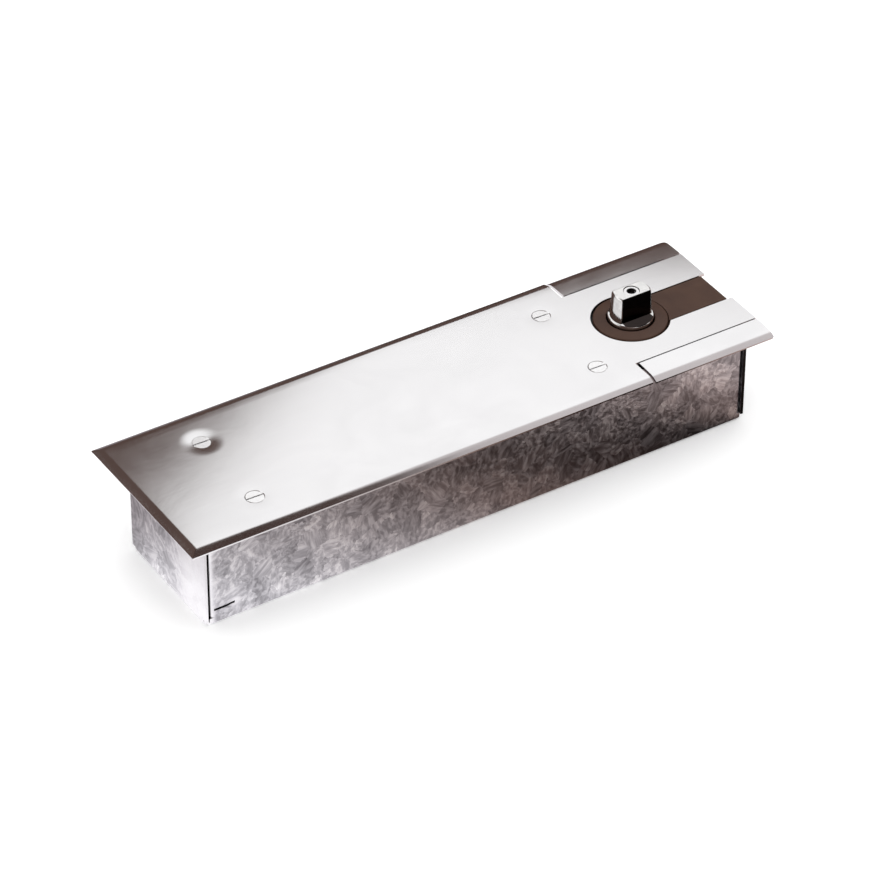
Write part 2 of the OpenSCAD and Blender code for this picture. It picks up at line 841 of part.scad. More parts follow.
module spindle_cover() {
    edge = plate_top + cover_edge;
    dome = edge + cover_rise;
    hole = collar_r + cover_room;
    side = cover_r - cover_round;
    color([0.33, 0.25, 0.22])
        rotate_extrude()
            polygon([
                [neck_r + run_gap, head_top], [cover_r, head_top],
                [cover_r, edge - cover_round], [side, edge],
                for (i = [1:6])
                    let (r = side - (side - hole - cover_round) * i / 6)
                        [r, edge + (dome - edge) * sin(90 * i / 6)],
                [hole, dome - cover_round], [hole, neck_top + 0.2], [neck_r + run_gap, neck_top + 0.2],
            ]);
}

module cover_screws() {
    color("lightgray")
        at_each(cover_screws_at)
            translate([0, 0, dimple_z])
                slotted_screw(screw_head_d, screw_d, screw_l, screw_slot, screw_slot_d);
}

// ---------- Housing ----------

module housing_form() {
    base_half = bore_r + tube_wall + base_out;
    ribs = 3;
    // head, with the seat for the lid cut across it
    difference() {
        block([head_x0, -head_half, housing_lift], [head_x1, head_half, head_top]);
        block([-recess_x, -head_half - past, lid_low - gasket_t],
            [recess_x, head_half + past, head_top + past]);
    }
    // spring tube on its base
    x_rod(tube_x0, head_x0 + 1, bore_r + tube_wall, 0, bore_z);
    block([tube_x0, -base_half, housing_lift],
        [head_x0 + 1, base_half, housing_lift + base_h]);
    // far feet, one at each side of the plug
    difference() {
        block([foot_x0, -head_half, foot_low], [foot_x1, head_half, foot_low + foot_t]);
        block([foot_x0 - past, -bore_r - 0.5, foot_low - past],
            [tube_x0, bore_r + 0.5, foot_low + foot_t + past]);
    }
    // columns that carry the cover screws
    at_each([cover_screws_at[0], cover_screws_at[1]])
        z_rod(head_top - 1, column_top, column_r);
    at_each([cover_screws_at[2], cover_screws_at[3]])
        z_rod(foot_low + 1, column_top, column_r);
    // ribs round the tube, evenly from the head to the far feet
    for (i = [1:ribs])
        let (x = head_x0 + (foot_x1 - head_x0) * i / (ribs + 1))
            x_rod(x - 2, x + 2, bore_r + tube_wall + 1, 0, bore_z + 0.8);
}

module housing() {
    color("dimgray")
        difference() {
            housing_form();
            // piston's bore, cam's chamber and lower bearing's seat
            x_rod(tube_x0 - past, -lower_r - seat_wall, bore_r, 0, bore_z);
            z_rod(lower_high, head_top, chamber_r);
            z_rod(lower_low, lower_high + past, lower_r);
            // tapped holes: cover screws, lid screws, levelling screws
            at_each(cover_screws_at) {
                z_rod(dimple_z - screw_l - 1, column_top + past, screw_d / 2);
                z_rod(column_top - 2, column_top + past, sink_r(column_top - 2),
                    sink_r(column_top + past));
            }
            at_each(lid_screws_at)
                z_rod(head_top - lid_screw_l - 1, lid_low, lid_screw_d / 2);
            at_each(concat(levels_front_at, levels_far_at))
                z_rod(0, head_top + past, set_d / 2);
            at_each(levels_front_at)
                z_rod(box_sheet + level_l + 3, head_top + past, set_d / 2 + clear_gap);
            // clamp screws: clear holes, with a deep seat and a nut's pocket in the head
            at_each(clamps_far_at)
                z_rod(0, foot_low + foot_t + past, set_d / 2 + clear_gap);
            at_each(clamp_front_at) {
                z_rod(0, head_top, set_d / 2 + clear_gap);
                z_rod(clamp_seat, head_top + past, sink_r_clamp);
                z_rod(0, box_sheet + nut_h + 1, nut_w / sqrt(3) + clear_gap / 2);
            }
            for (s = [-1, 1])
                translate([0, s * channel_y, 0])
                    oil_way(s);
            // oil filler in the head's side
            translate([0, -head_half - past, filler_z])
                rotate([-90, 0, 0])
                    cylinder(h = head_half, r = filler_d / 2);
        }
}

// One oil way: a channel along the base, a valve's bore down to it, a port from the bore
// to the cam's chamber, and a port from the channel to the spring's side of the piston
module oil_way(side) {
    z = housing_lift + channel_up;
    x_rod(foot_x0 - past, front_x, channel_r, 0, z);
    translate([front_x, 0, 0])
        z_rod(valve_low, head_top + past, valve_r);
    x_rod(chamber_r / 2, front_x, channel_r - 0.4, 0, bore_z);
    translate([plug_x + 4 * channel_r, 0, z])
        rotate([side * 90, 0, 0])
            cylinder(h = channel_y - channel_r, r = channel_r);
}

module channel_plugs() {
    color("silver")
        for (s = [-1, 1])
            translate([0, s * channel_y, housing_lift + channel_up])
                rotate([0, 90, 0])
                    difference() {
                        z_rod(tube_x0 + 0.2, tube_x0 + 3 * channel_r, channel_r - press_gap);
                        hexagon(tube_x0, tube_x0 + channel_r, 0.75 * channel_r);
                    }
}

module filler_plug() {
    l = head_half - chamber_r - 0.6;
    color("silver")
        translate([0, -head_half + l + 0.2, filler_z])
            rotate([90, 0, 0])
                grub_screw(filler_d, l, 4 * l / 6);
}

module end_plug() {
    color("darkgray")
        difference() {
            x_rod(tube_x0 + 0.5, plug_x, bore_r - thread_gap, 0, bore_z);
            // groove for the seal, hexagon socket, and pocket inside
            translate([plug_x - 3 - groove_w, 0, bore_z])
                rotate([0, 90, 0])
                    collar(0, groove_w, bore_r - 2 * cord_r - 0.1, bore_r + past);
            translate([0, 0, bore_z])
                rotate([0, 90, 0])
                    hexagon(tube_x0 - past, tube_x0 + plug_l / 2, 2 * bore_r / 3);
            x_rod(plug_x - 3, plug_x + past, spigot_r, 0, bore_z);
        }
}

module end_plug_seal() {
    color("black")
        cord_ring(plug_x - 3 - groove_w / 2, bore_r - cord_r - press_gap);
}

// ---------- Lid ----------

module housing_lid() {
    color("gray")
        difference() {
            union() {
                block([-lid_x, -lid_half, lid_low], [lid_x, lid_half, head_top]);
                z_rod(hub_low, lid_low + 1, upper_r + hub_wall);
                z_rod(head_top - 1, neck_top, neck_r);
            }
            z_rod(hub_low - past, lid_low, upper_r);
            z_rod(lid_low - past, neck_top, shaft_r + 2);
            z_rod(seal_low, neck_top + past, seal_r);
            at_each(lid_screws_at) {
                z_rod(lid_low - past, head_top, lid_screw_d / 2 + 0.25);
                z_rod(head_top - lid_screw_d / 2, head_top + 0.5, lid_screw_d / 2,
                    lid_screw_d + 0.5);
            }
        }
}

module lid_gasket() {
    color([0.25, 0.3, 0.25])
        difference() {
            block([-lid_x, -lid_half, lid_low - gasket_t], [lid_x, lid_half, lid_low]);
            z_rod(lid_low - past, lid_low + past, chamber_r + 0.4);
            at_each(lid_screws_at)
                z_rod(lid_low - past, lid_low + past, lid_screw_d / 2 + 0.25);
        }
}

module lid_screws() {
    color("silver")
        at_each(lid_screws_at)
            translate([0, 0, head_top])
                difference() {
                    union() {
                        z_rod(-2.3, -0.1, lid_screw_d / 2 - 0.1, lid_screw_d / 2 + 2.1);
                        z_rod(-lid_screw_l, -2.2, lid_screw_d / 2 - thread_gap);
                    }
                    hexagon(-2, past, 3);
                }
}

// Lip seal: an outer case, a lip on the shaft and a hollow above it
module shaft_seal() {
    color([0.1, 0.1, 0.1])
        translate([0, 0, seal_low])
            rotate_extrude()
                polygon([
                    [shaft_r + run_gap, 0.6], [seal_r - press_gap, 0],
                    [seal_r - press_gap, seal_h], [seal_r - 1, seal_h], [seal_r - 1.4, 1.8],
                    [shaft_r + 1.6, 1.8], [shaft_r + 1, seal_h - 1], [shaft_r + run_gap, seal_h - 1.6],
                ]);
}

// ---------- Ball bearings ----------

// A ring of a bearing: its groove's arc is about the balls' pitch circle
module bearing_ring(low, w, r_in, r_out, pitch_r, ball_r) {
    difference() {
        collar(low, low + w, r_in, r_out);
        translate([0, 0, low + w / 2])
            rotate_extrude()
                translate([pitch_r, 0])
                    circle(r = ball_r + run_gap);
    }
}

module bearing_balls(mid, pitch_r, ball_r, count) {
    for (i = [0:count - 1])
        rotate(360 * i / count)
            translate([pitch_r, 0, mid])
                sphere(r = ball_r);
}

module bearing_cage(mid, pitch_r, ball_r, count) {
    h = ball_r * 1.1;
    difference() {
        collar(mid - h, mid + h, pitch_r - cage_wall / 2, pitch_r + cage_wall / 2);
        bearing_balls(mid, pitch_r, ball_r + cage_room, count);
    }
}

module upper_outer_ring() {
    color("silver")
        bearing_ring(upper_low, upper_w, upper_pitch_r + upper_ball_r / 2, upper_r - press_gap,
            upper_pitch_r, upper_ball_r);
}

module upper_inner_ring() {
    color("silver")
        bearing_ring(upper_low, upper_w, shaft_r + press_gap, upper_pitch_r - upper_ball_r / 2,
            upper_pitch_r, upper_ball_r);
}

module upper_cage() {
    color("goldenrod")
        bearing_cage(upper_low + upper_w / 2, upper_pitch_r, upper_ball_r, upper_balls);
}

module upper_bearing_balls() {
    color("silver")
        bearing_balls(upper_low + upper_w / 2, upper_pitch_r, upper_ball_r, upper_balls);
}

module lower_outer_ring() {
    color("silver")
        bearing_ring(lower_low, lower_w, lower_pitch_r + lower_ball_r / 2, lower_r - press_gap,
            lower_pitch_r, lower_ball_r);
}

module lower_inner_ring() {
    color("silver")
        bearing_ring(lower_low, lower_w, journal_r + press_gap, lower_pitch_r - lower_ball_r / 2,
            lower_pitch_r, lower_ball_r);
}

module lower_cage() {
    color("goldenrod")
        bearing_cage(lower_low + lower_w / 2, lower_pitch_r, lower_ball_r, lower_balls);
}

module lower_bearing_balls() {
    color("silver")
        bearing_balls(lower_low + lower_w / 2, lower_pitch_r, lower_ball_r, lower_balls);
}

// ---------- Shaft with its cam, and the spindle ----------

// Distance from the shaft to the roller's pin, at angle a from the cam's notch
function roller_at(a) = roller_rest + cam_rate * min(abs(a), cam_live) * PI / 180;

// Where a ray at angle p from the notch first meets the roller that stands at angle a
function ray_to_roller(p, a) =
    let (d = roller_at(a), r = roller_r + run_gap, off = d * sin(p - a))
        abs(off) >= r || cos(p - a) <= 0 ? 2 * chamber_r
            : d * cos(p - a) - sqrt(r * r - off * off);

// The cam's radius: as near as any place of the roller lets it come
function cam_radius(p) = min([for (a = [-180:1.5:180]) ray_to_roller(p, a)]);

// Heart-shaped cam, notch towards -X, which moves the roller in step with the door
module cam_outline() {
    rotate(180)
        polygon([for (p = [-180:179]) cam_radius(p) * [cos(p), sin(p)]]);
}

module cam_shaft() {
    color("slategray")
        difference() {
            union() {
                z_rod(lower_low + 0.3, lower_high + eps, journal_r);
                z_rod(lower_high, cam_low + eps, waist_r);
                translate([0, 0, cam_low])
                    linear_extrude(cam_t)
                        cam_outline();
                z_rod(cam_high - eps, upper_low, shoulder_r);
                z_rod(upper_low - eps, shaft_top, shaft_r);
            }
            translate([-square_w / 2, -square_w / 2, shaft_top - square_l])
                cube([square_w, square_w, square_l + past]);
            z_rod(cam_high - 6, shaft_top, bolt_d / 2);
        }
}

// Spindle that the door's arm sits on: two flats and two round ends, all tapered
module spindle() {
    h = spindle_top - collar_top;
    foot_w = square_w - 2 * square_room;
    color("gainsboro")
        difference() {
            union() {
                intersection() {
                    z_rod(collar_top - 1, spindle_top, spindle_r_low + (spindle_r_low - spindle_r_top) / h,
                        spindle_r_top);
                    rotate([90, 0, 90])
                        translate([0, 0, -2 * spindle_r_low])
                            linear_extrude(4 * spindle_r_low)
                                polygon([
                                    [-flat_low / 2, collar_top - 1], [flat_low / 2, collar_top - 1],
                                    [flat_low / 2, collar_top], [flat_top / 2, spindle_top],
                                    [-flat_top / 2, spindle_top], [-flat_low / 2, collar_top],
                                ]);
                    z_rod(collar_top - 1, spindle_top, h + spindle_r_top - spindle_chamfer + 1,
                        spindle_r_top - spindle_chamfer);
                }
                z_rod(shaft_top, collar_top - 0.4, collar_r);
                z_rod(collar_top - 0.4, collar_top, collar_r, collar_r - 0.4);
                translate([-foot_w / 2, -foot_w / 2, shaft_top - square_l + 1])
                    cube([foot_w, foot_w, square_l]);
            }
            z_rod(shaft_top - square_l, spindle_top, bolt_d / 2 + 0.2);
            z_rod(spindle_top - bolt_sunk - bolt_head_h, spindle_top + past,
                bolt_head_d / 2 + bolt_room);
        }
}

module spindle_bolt() {
    seat = spindle_top - bolt_sunk - bolt_head_h;
    color("lightgray")
        translate([0, 0, seat])
            cap_screw(bolt_head_d / 2, bolt_head_h, bolt_d, seat - cam_high + 4, bolt_hex);
}

// ---------- Piston, roller and spring ----------

module fork_arm(low) {
    translate([0, 0, low])
        linear_extrude(arm_t) {
            translate([-roller_rest, 0])
                circle(r = eye_r);
            translate([piston_x1 - 1, -eye_r + 0.2])
                square([-roller_rest - piston_x1 + 1, 2 * eye_r - 0.4]);
        }
}

module piston() {
    r = bore_r - run_gap;
    color("darkgray")
        difference() {
            union() {
                x_rod(piston_x0, piston_x1, r, 0, bore_z);
                x_rod(piston_x0 - spigot_l, piston_x0 + 1, spigot_r, 0, bore_z);
                fork_arm(cam_low - side_room - arm_t);
                fork_arm(cam_high + side_room);
            }
            // pin's eyes
            translate([-roller_rest, 0, 0])
                z_rod(cam_low - side_room - arm_t - past, cam_high + side_room + arm_t + past,
                    pin_r + press_gap);
            // seal's groove
            translate([piston_x0 + ring_in - 0.1, 0, bore_z])
                rotate([0, 90, 0])
                    collar(0, ring_w + 0.2, bore_r - ring_depth - 0.1, bore_r + past);
            // check valve: passage, seat, ball's room and the retainer's thread
            x_rod(piston_x0 - spigot_l - past, check_x, check_r, 0, bore_z);
            x_rod(check_x, piston_x1 + past, check_ball_r + 0.4, 0, bore_z);
            x_rod(retainer_x0 - 0.1, piston_x1 + past, check_ball_r + 0.8, 0, bore_z);
        }
}

module piston_seal() {
    color([0.85, 0.8, 0.7])
        translate([piston_x0 + ring_in, 0, bore_z])
            rotate([0, 90, 0])
                collar(0, ring_w, bore_r - ring_depth, bore_r - run_gap);
}

module check_retainer() {
    color("goldenrod")
        difference() {
            x_rod(retainer_x0, retainer_x1, check_ball_r + 0.8 - press_gap, 0, bore_z);
            x_rod(retainer_x0 - past, piston_x1 + past, check_r - 0.3, 0, bore_z);
            block([retainer_x1 - 1.2, -0.5, bore_z - bore_r],
                [piston_x1 + past, 0.5, bore_z + bore_r]);
        }
}

module check_ball() {
    color("silver")
        translate([check_x + check_seat + run_gap, 0, bore_z])
            sphere(r = check_ball_r);
}

module roller_pin() {
    color("silver")
        translate([-roller_rest, 0, 0])
            z_rod(cam_low - side_room - arm_t, cam_high + side_room + arm_t, pin_r);
}

module cam_roller() {
    color("silver")
        translate([-roller_rest, 0, 0])
            difference() {
                z_rod(cam_low + 0.2, cam_high - 0.2, roller_r);
                z_rod(cam_low - past, cam_high + past, pin_r + bush_wall);
            }
}

module roller_bush() {
    color("goldenrod")
        translate([-roller_rest, 0, 0])
            collar(cam_low, cam_high, pin_r + run_gap, pin_r + bush_wall - press_gap);
}

// Closing spring: closed and ground at both ends, so its end turns are cut flat
ring_sides = 8;
rings_turn = 16;
end_rise = 2 * wire_r * 1.02;
end_start = 0.4 * wire_r;
mid_rise = (spring_l - 2 * (end_start + end_rise)) / (spring_turns - 2);

// How far the wire's middle has advanced after u turns
function wire_x(u) = u <= 1 ? end_start + end_rise * u
    : u >= spring_turns - 1 ? spring_l - end_start - end_rise * (spring_turns - u)
    : end_start + end_rise + mid_rise * (u - 1);

module closing_spring() {
    rings = spring_turns * rings_turn;
    points = [for (i = [0:rings], j = [0:ring_sides - 1])
        let (u = i / rings_turn, t = 360 * (j + 0.5) / ring_sides,
            x = min(spring_l, max(0, wire_x(u) + wire_r * cos(t))),
            r = spring_r + wire_r * sin(t))
            [plug_x + x, r * cos(360 * u), r * sin(360 * u) + bore_z]];
    faces = [
        [for (j = [0:ring_sides - 1]) j],
        for (i = [0:rings - 1], j = [0:ring_sides - 1])
            let (k = (j + 1) % ring_sides, a = i * ring_sides, b = a + ring_sides)
                for (f = [[a + j, b + j, b + k], [a + j, b + k, a + k]]) f,
        [for (j = [ring_sides - 1:-1:0]) rings * ring_sides + j],
    ];
    color("dimgray")
        polyhedron(points, faces);
}

// ---------- Screws and valves of the closer ----------

module levelling_screws() {
    color("silver")
        at_each(concat(levels_front_at, levels_far_at))
            translate([0, 0, box_sheet])
                grub_screw(set_d, level_l, set_d / 2);
}

module clamp_screws() {
    end_z = box_sheet + 1;
    color("silver") {
        at_each(clamps_far_at)
            translate([0, 0, foot_low + foot_t])
                cap_screw(clamp_head_r, clamp_head_h, set_d, foot_low + foot_t - end_z, 5);
        at_each(clamp_front_at)
            translate([0, 0, clamp_seat])
                cap_screw(clamp_head_r, clamp_head_h, set_d, clamp_seat - end_z, 5);
    }
}

// Flow valve: a slotted stem with a seal's groove and a needle over the oil channel
module flow_valve() {
    r = valve_r - run_gap;
    top = head_top - 0.5;
    needle = bore_z + channel_r;
    color("goldenrod")
        difference() {
            union() {
                z_rod(needle, top, r);
                z_rod(bore_z - 5, needle + eps, channel_r - 0.6, r);
            }
            collar(top - 8 - groove_w, top - 8, r - 1.5, r + past);
            block([-2 * r, -0.5, top - 1.5], [2 * r, 0.5, top + past]);
        }
}

module valve_seal() {
    color("black")
        translate([0, 0, head_top - 8.5 - groove_w / 2])
            rotate_extrude()
                translate([valve_r - 0.8, 0])
                    circle(r = 0.7, $fn = 32);
}

module closing_valve() {
    translate([front_x, -channel_y, 0])
        flow_valve();
}

module latching_valve() {
    translate([front_x, channel_y, 0])
        flow_valve();
}

module closing_valve_seal() {
    translate([front_x, -channel_y, 0])
        valve_seal();
}

module latching_valve_seal() {
    translate([front_x, channel_y, 0])
        valve_seal();
}

cement_box();
cover_plate();
front_side_strip();
rear_side_strip();
slot_insert();
spindle_cover();
cover_screws();
housing();
housing_lid();
lid_gasket();
lid_screws();
shaft_seal();
upper_outer_ring();
lower_outer_ring();
end_plug();
end_plug_seal();
closing_spring();
levelling_screws();
clamp_screws();
box_nuts();
filler_plug();
channel_plugs();
cam_shaft();
spindle();
spindle_bolt();
upper_inner_ring();
lower_inner_ring();
upper_cage();
upper_bearing_balls();
lower_cage();
lower_bearing_balls();
piston();
piston_seal();
roller_pin();
check_retainer();
cam_roller();
roller_bush();
check_ball();
closing_valve();
latching_valve();
closing_valve_seal();
latching_valve_seal();
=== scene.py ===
"""Floor spring door closer: a galvanised cement box, a cam-action hydraulic closer inside it,
and a stainless cover plate with the door's spindle. The sections follow the order in which the
closer is put together. Metres, in the frame of the part."""

import math

import bmesh
import bpy
from mathutils import Matrix, Vector


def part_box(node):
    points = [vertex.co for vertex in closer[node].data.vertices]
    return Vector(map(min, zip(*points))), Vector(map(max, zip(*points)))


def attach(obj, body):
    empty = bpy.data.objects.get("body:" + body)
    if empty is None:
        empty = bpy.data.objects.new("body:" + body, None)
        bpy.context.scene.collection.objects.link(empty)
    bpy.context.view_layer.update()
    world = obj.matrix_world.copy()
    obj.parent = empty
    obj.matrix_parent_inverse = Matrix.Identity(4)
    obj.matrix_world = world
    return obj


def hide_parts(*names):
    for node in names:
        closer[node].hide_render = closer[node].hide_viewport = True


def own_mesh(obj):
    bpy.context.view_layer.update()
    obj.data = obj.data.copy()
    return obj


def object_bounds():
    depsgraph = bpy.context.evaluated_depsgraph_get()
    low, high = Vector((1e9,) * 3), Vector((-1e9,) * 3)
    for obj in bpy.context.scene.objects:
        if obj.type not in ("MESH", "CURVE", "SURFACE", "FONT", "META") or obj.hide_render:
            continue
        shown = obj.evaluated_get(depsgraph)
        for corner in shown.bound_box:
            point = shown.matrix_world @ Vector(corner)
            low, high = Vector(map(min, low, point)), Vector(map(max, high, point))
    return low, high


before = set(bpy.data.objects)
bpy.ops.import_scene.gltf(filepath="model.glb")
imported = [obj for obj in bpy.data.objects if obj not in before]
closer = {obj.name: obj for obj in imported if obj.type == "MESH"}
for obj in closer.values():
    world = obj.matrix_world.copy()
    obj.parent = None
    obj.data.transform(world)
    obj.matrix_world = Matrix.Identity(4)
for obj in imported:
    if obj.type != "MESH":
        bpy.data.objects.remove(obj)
cad_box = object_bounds()

# ---------------------------------------------------------------- Cement box
# The box that is set into the floor. It is hot-dip galvanised steel sheet, cut and slit, then
# folded up with its corners left open. The zinc froze in crystals about a centimetre across,
# each a slightly different grey, which is what the eye reads as galvanised.


def linear(colour):
    """A colour written as sRGB hex, turned to the linear light that a shader takes."""
    parts = [int(colour[i:i + 2], 16) / 255 for i in (1, 3, 5)]
    return tuple(c / 12.92 if c <= 0.04045 else ((c + 0.055) / 1.055) ** 2.4
                 for c in parts) + (1.0,)


def feed(node, links):
    """Gives inputs, by name or in order, their values or sources. A node that is given as a
    source stands for its first output."""
    for key, value in links.items() if isinstance(links, dict) else enumerate(links):
        for source in value if isinstance(value, list) else [value]:
            if isinstance(source, bpy.types.Node):
                source = source.outputs[0]
            if isinstance(source, bpy.types.NodeSocket):
                node.id_data.links.new(source, node.inputs[key])
            else:
                node.inputs[key].default_value = source


def add(tree, kind, links=(), stops=(), **settings):
    """A node of this kind. Its links are as for feed; stops, for a ramp, are (place, sRGB hex)."""
    made = tree.nodes.new(kind)
    for key, value in settings.items():
        setattr(made, key, value)
    feed(made, links)
    if stops:
        ramp = made.color_ramp.elements
        while len(ramp) < len(stops):
            ramp.new(0.5)
        for element, (position, colour) in zip(ramp, stops):
            element.position, element.color = position, linear(colour)
    return made


def surface(name, **sockets):
    """A material with one principled shader: the tree, the shader, and the place on the piece."""
    made = bpy.data.materials.new(name)
    made.use_nodes = True
    tree = made.node_tree
    tree.nodes.clear()
    shader = add(tree, "ShaderNodeBsdfPrincipled",
                 {key.replace("_", " "): value for key, value in sockets.items()})
    add(tree, "ShaderNodeOutputMaterial", {"Surface": shader}, name="Material Output")
    return made, tree, shader, add(tree, "ShaderNodeTexCoord").outputs["Object"]


def dress(finish, *names):
    """The finish goes on these solids of the closer as they are."""
    for name in names:
        for held in closer[name].material_slots:
            held.material = finish


galvanised, tree, shader, place = surface("galvanised_steel_sheet", Metallic=1.0)
# crystals about 10 mm across, their borders made ragged by a 4 mm wobble
wobble = add(tree, "ShaderNodeTexNoise", {
    "Vector": place, "Scale": 260.0, "Detail": 4.0, "Roughness": 0.6})
ragged = add(tree, "ShaderNodeVectorMath", (wobble.outputs["Color"], (0.006,) * 3, place),
             operation="MULTIPLY_ADD")
crystal = add(tree, "ShaderNodeTexVoronoi", {"Vector": ragged, "Scale": 105.0})
facet = add(tree, "ShaderNodeSeparateColor", {"Color": crystal.outputs["Color"]})
# feathers that grew inside each crystal in its own direction, about 6 mm by 1 mm
heading = add(tree, "ShaderNodeVectorMath", (crystal.outputs["Color"], (6.28,) * 3),
              operation="MULTIPLY")
swung = add(tree, "ShaderNodeVectorRotate", {"Vector": place, "Rotation": heading},
            rotation_type="EULER_XYZ")
drawn = add(tree, "ShaderNodeMapping", {"Vector": swung, "Scale": (75.0, 400.0, 400.0)})
feather = add(tree, "ShaderNodeTexNoise", {
    "Vector": drawn, "Scale": 1.0, "Detail": 3.0, "Roughness": 0.55, "Distortion": 0.25})
sharp = add(tree, "ShaderNodeMapRange", {"Value": feather, "From Min": 0.3, "From Max": 0.7},
            interpolation_type="SMOOTHSTEP")
cloud = add(tree, "ShaderNodeTexNoise", {
    "Vector": place, "Scale": 55.0, "Detail": 3.0, "Roughness": 0.6})
frost = add(tree, "ShaderNodeMath", (sharp, 0.7), operation="MULTIPLY")
frost = add(tree, "ShaderNodeMath", (facet.outputs["Red"], 0.5, frost), operation="MULTIPLY_ADD")
frost = add(tree, "ShaderNodeMath", (cloud, frost), operation="ADD")
# at the front left corner a painted highlight lightens the zinc towards white: 8 mm of the side, 45
# mm of the end
corner, far_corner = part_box("cement_box")
spot = add(tree, "ShaderNodeSeparateXYZ", {"Vector": place}).outputs
from_end = add(tree, "ShaderNodeMath", (spot["X"], corner[0]), operation="SUBTRACT")
from_side = add(tree, "ShaderNodeMath", (spot["Y"], corner[1]), operation="SUBTRACT")
along = add(tree, "ShaderNodeMath", (from_end, 1 / 0.008), operation="MULTIPLY")
across = add(tree, "ShaderNodeMath", (from_side, 1 / 0.045), operation="MULTIPLY")
squared = add(tree, "ShaderNodeMath", (across, across), operation="MULTIPLY")
squared = add(tree, "ShaderNodeMath", (along, along, squared), operation="MULTIPLY_ADD")
away = add(tree, "ShaderNodeMath", (squared,), operation="SQRT")
painted_highlight = add(tree, "ShaderNodeMapRange", {
    "Value": away, "From Min": 0.35, "From Max": 1.0, "To Min": 0.85, "To Max": 0.0},
    interpolation_type="SMOOTHSTEP")
# and a painted glint in the dimple that a punch left at the slit's end
dimple = (corner[0] + 0.0177, corner[1], 0.01)
punched = add(tree, "ShaderNodeVectorMath", (place, dimple), operation="DISTANCE")
painted_dimple_glint = add(tree, "ShaderNodeMapRange", {
    "Value": punched.outputs["Value"], "From Min": 0.0045, "From Max": 0.0015, "To Max": 0.8},
    interpolation_type="SMOOTHSTEP")
painted_highlight = add(tree, "ShaderNodeMath", (painted_highlight, painted_dimple_glint), operation="MAXIMUM")
# from here frost carries the painted highlight and glint as well as the crystals, in colour and in
# bump
short = add(tree, "ShaderNodeMath", (1.65, frost), operation="SUBTRACT")
frost = add(tree, "ShaderNodeMath", (short, painted_highlight, frost), operation="MULTIPLY_ADD")
tone = add(tree, "ShaderNodeMapRange", {"Value": frost, "From Min": 0.4, "From Max": 1.7})
zinc = add(tree, "ShaderNodeValToRGB", {"Fac": tone}, stops=(
    (0.0, "#7E7C80"), (0.35, "#ACABAF"), (0.6, "#C9C8CC"), (0.8, "#E2E1E4"), (1.0, "#FBFBFC")))
# painted shade darkens the open corner's cut edges, 3 mm deep between the two panels
nearer = add(tree, "ShaderNodeMath", (from_end, from_side), operation="MINIMUM")
further = add(tree, "ShaderNodeMath", (from_end, from_side), operation="MAXIMUM")
sunk = add(tree, "ShaderNodeMapRange", {"Value": nearer, "From Min": 0.00005, "From Max": 0.0003})
edge = add(tree, "ShaderNodeMapRange", {"Value": further, "From Min": 0.0035, "From Max": 0.003})
painted_edge_shade = add(tree, "ShaderNodeMath", (sunk, edge), operation="MULTIPLY")
# and painted shadow darkens the end panel's cut edge, 1.5 mm wide, at the front right corner
inward = add(tree, "ShaderNodeMath", (far_corner[0], spot["X"]), operation="SUBTRACT")
cut_x = add(tree, "ShaderNodeMapRange", {"Value": inward, "From Min": 0.0026, "From Max": 0.0023})
cut_y = add(tree, "ShaderNodeMapRange", {
    "Value": from_side, "From Min": 0.0005, "From Max": 0.0003})
cut = add(tree, "ShaderNodeMath", (cut_x, cut_y), operation="MULTIPLY")
painted_edge_shade = add(tree, "ShaderNodeMath", (painted_edge_shade, cut), operation="MAXIMUM")
# but not the lowest 2 mm
above = add(tree, "ShaderNodeMapRange", {"Value": spot["Z"], "From Min": 0.002, "From Max": 0.0025})
painted_edge_shade = add(tree, "ShaderNodeMath", (above, painted_edge_shade), operation="MULTIPLY")
# a colour mix takes its share and its two colours by number, and gives output 2
skin = add(tree, "ShaderNodeMix", {0: painted_edge_shade, 6: zinc, 7: linear("#1C1918")}, data_type="RGBA")
dull = add(tree, "ShaderNodeMapRange", {
    "Value": feather, "From Min": 0.3, "From Max": 0.7, "To Min": 0.3, "To Max": 0.5})
relief = add(tree, "ShaderNodeBump", {"Height": frost, "Strength": 0.35, "Distance": 0.0004})
feed(shader, {"Base Color": skin.outputs[2], "Roughness": dull, "Normal": relief})

welded, flat_within, crisp_past = 2e-6, math.radians(0.3), math.radians(30)


def smooth_shaded(made):
    """Welds the mesh, turns its faces outwards and keeps only its sharper edges crisp."""
    mesh = bmesh.new()
    mesh.from_mesh(made.data)
    bmesh.ops.remove_doubles(mesh, verts=mesh.verts, dist=welded)
    bmesh.ops.recalc_face_normals(mesh, faces=mesh.faces)
    for face in mesh.faces:
        face.smooth = True
    for edge in mesh.edges:
        edge.smooth = len(edge.link_faces) == 2 and edge.calc_face_angle(0) < crisp_past
    mesh.to_mesh(made.data)
    mesh.free()


def finished(made):
    """The piece with its modifiers worked into its mesh."""
    ready = made.evaluated_get(bpy.context.evaluated_depsgraph_get())
    whole = bpy.data.meshes.new_from_object(ready)
    made.modifiers.clear()
    made.data = whole
    return made


def with_broken_edges(node, name, body, finish, width):
    """A copy of a solid with its edges broken by width, as a sheet's or a casting's are."""
    made = bpy.data.objects.new(name, closer[node].data.copy())
    bpy.context.scene.collection.objects.link(made)
    mesh = bmesh.new()
    mesh.from_mesh(made.data)
    bmesh.ops.remove_doubles(mesh, verts=mesh.verts, dist=welded)
    bmesh.ops.dissolve_limit(mesh, angle_limit=flat_within, verts=mesh.verts, edges=mesh.edges)
    mesh.to_mesh(made.data)
    mesh.free()
    bevel = made.modifiers.new("edges", "BEVEL")
    bevel.width, bevel.segments = width, 2
    bevel.limit_method, bevel.angle_limit = "ANGLE", math.radians(40)
    finished(made)
    smooth_shaded(made)
    # large faces keep their own normals, so that they mirror as flats
    made.modifiers.new("flats", "WEIGHTED_NORMAL").keep_sharp = True
    finished(made)
    made.data.materials.clear()
    made.data.materials.append(finish)
    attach(made, body)
    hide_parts(node)
    return made


with_broken_edges("cement_box", "folded_box", "root", galvanised,
                  width=0.0003)

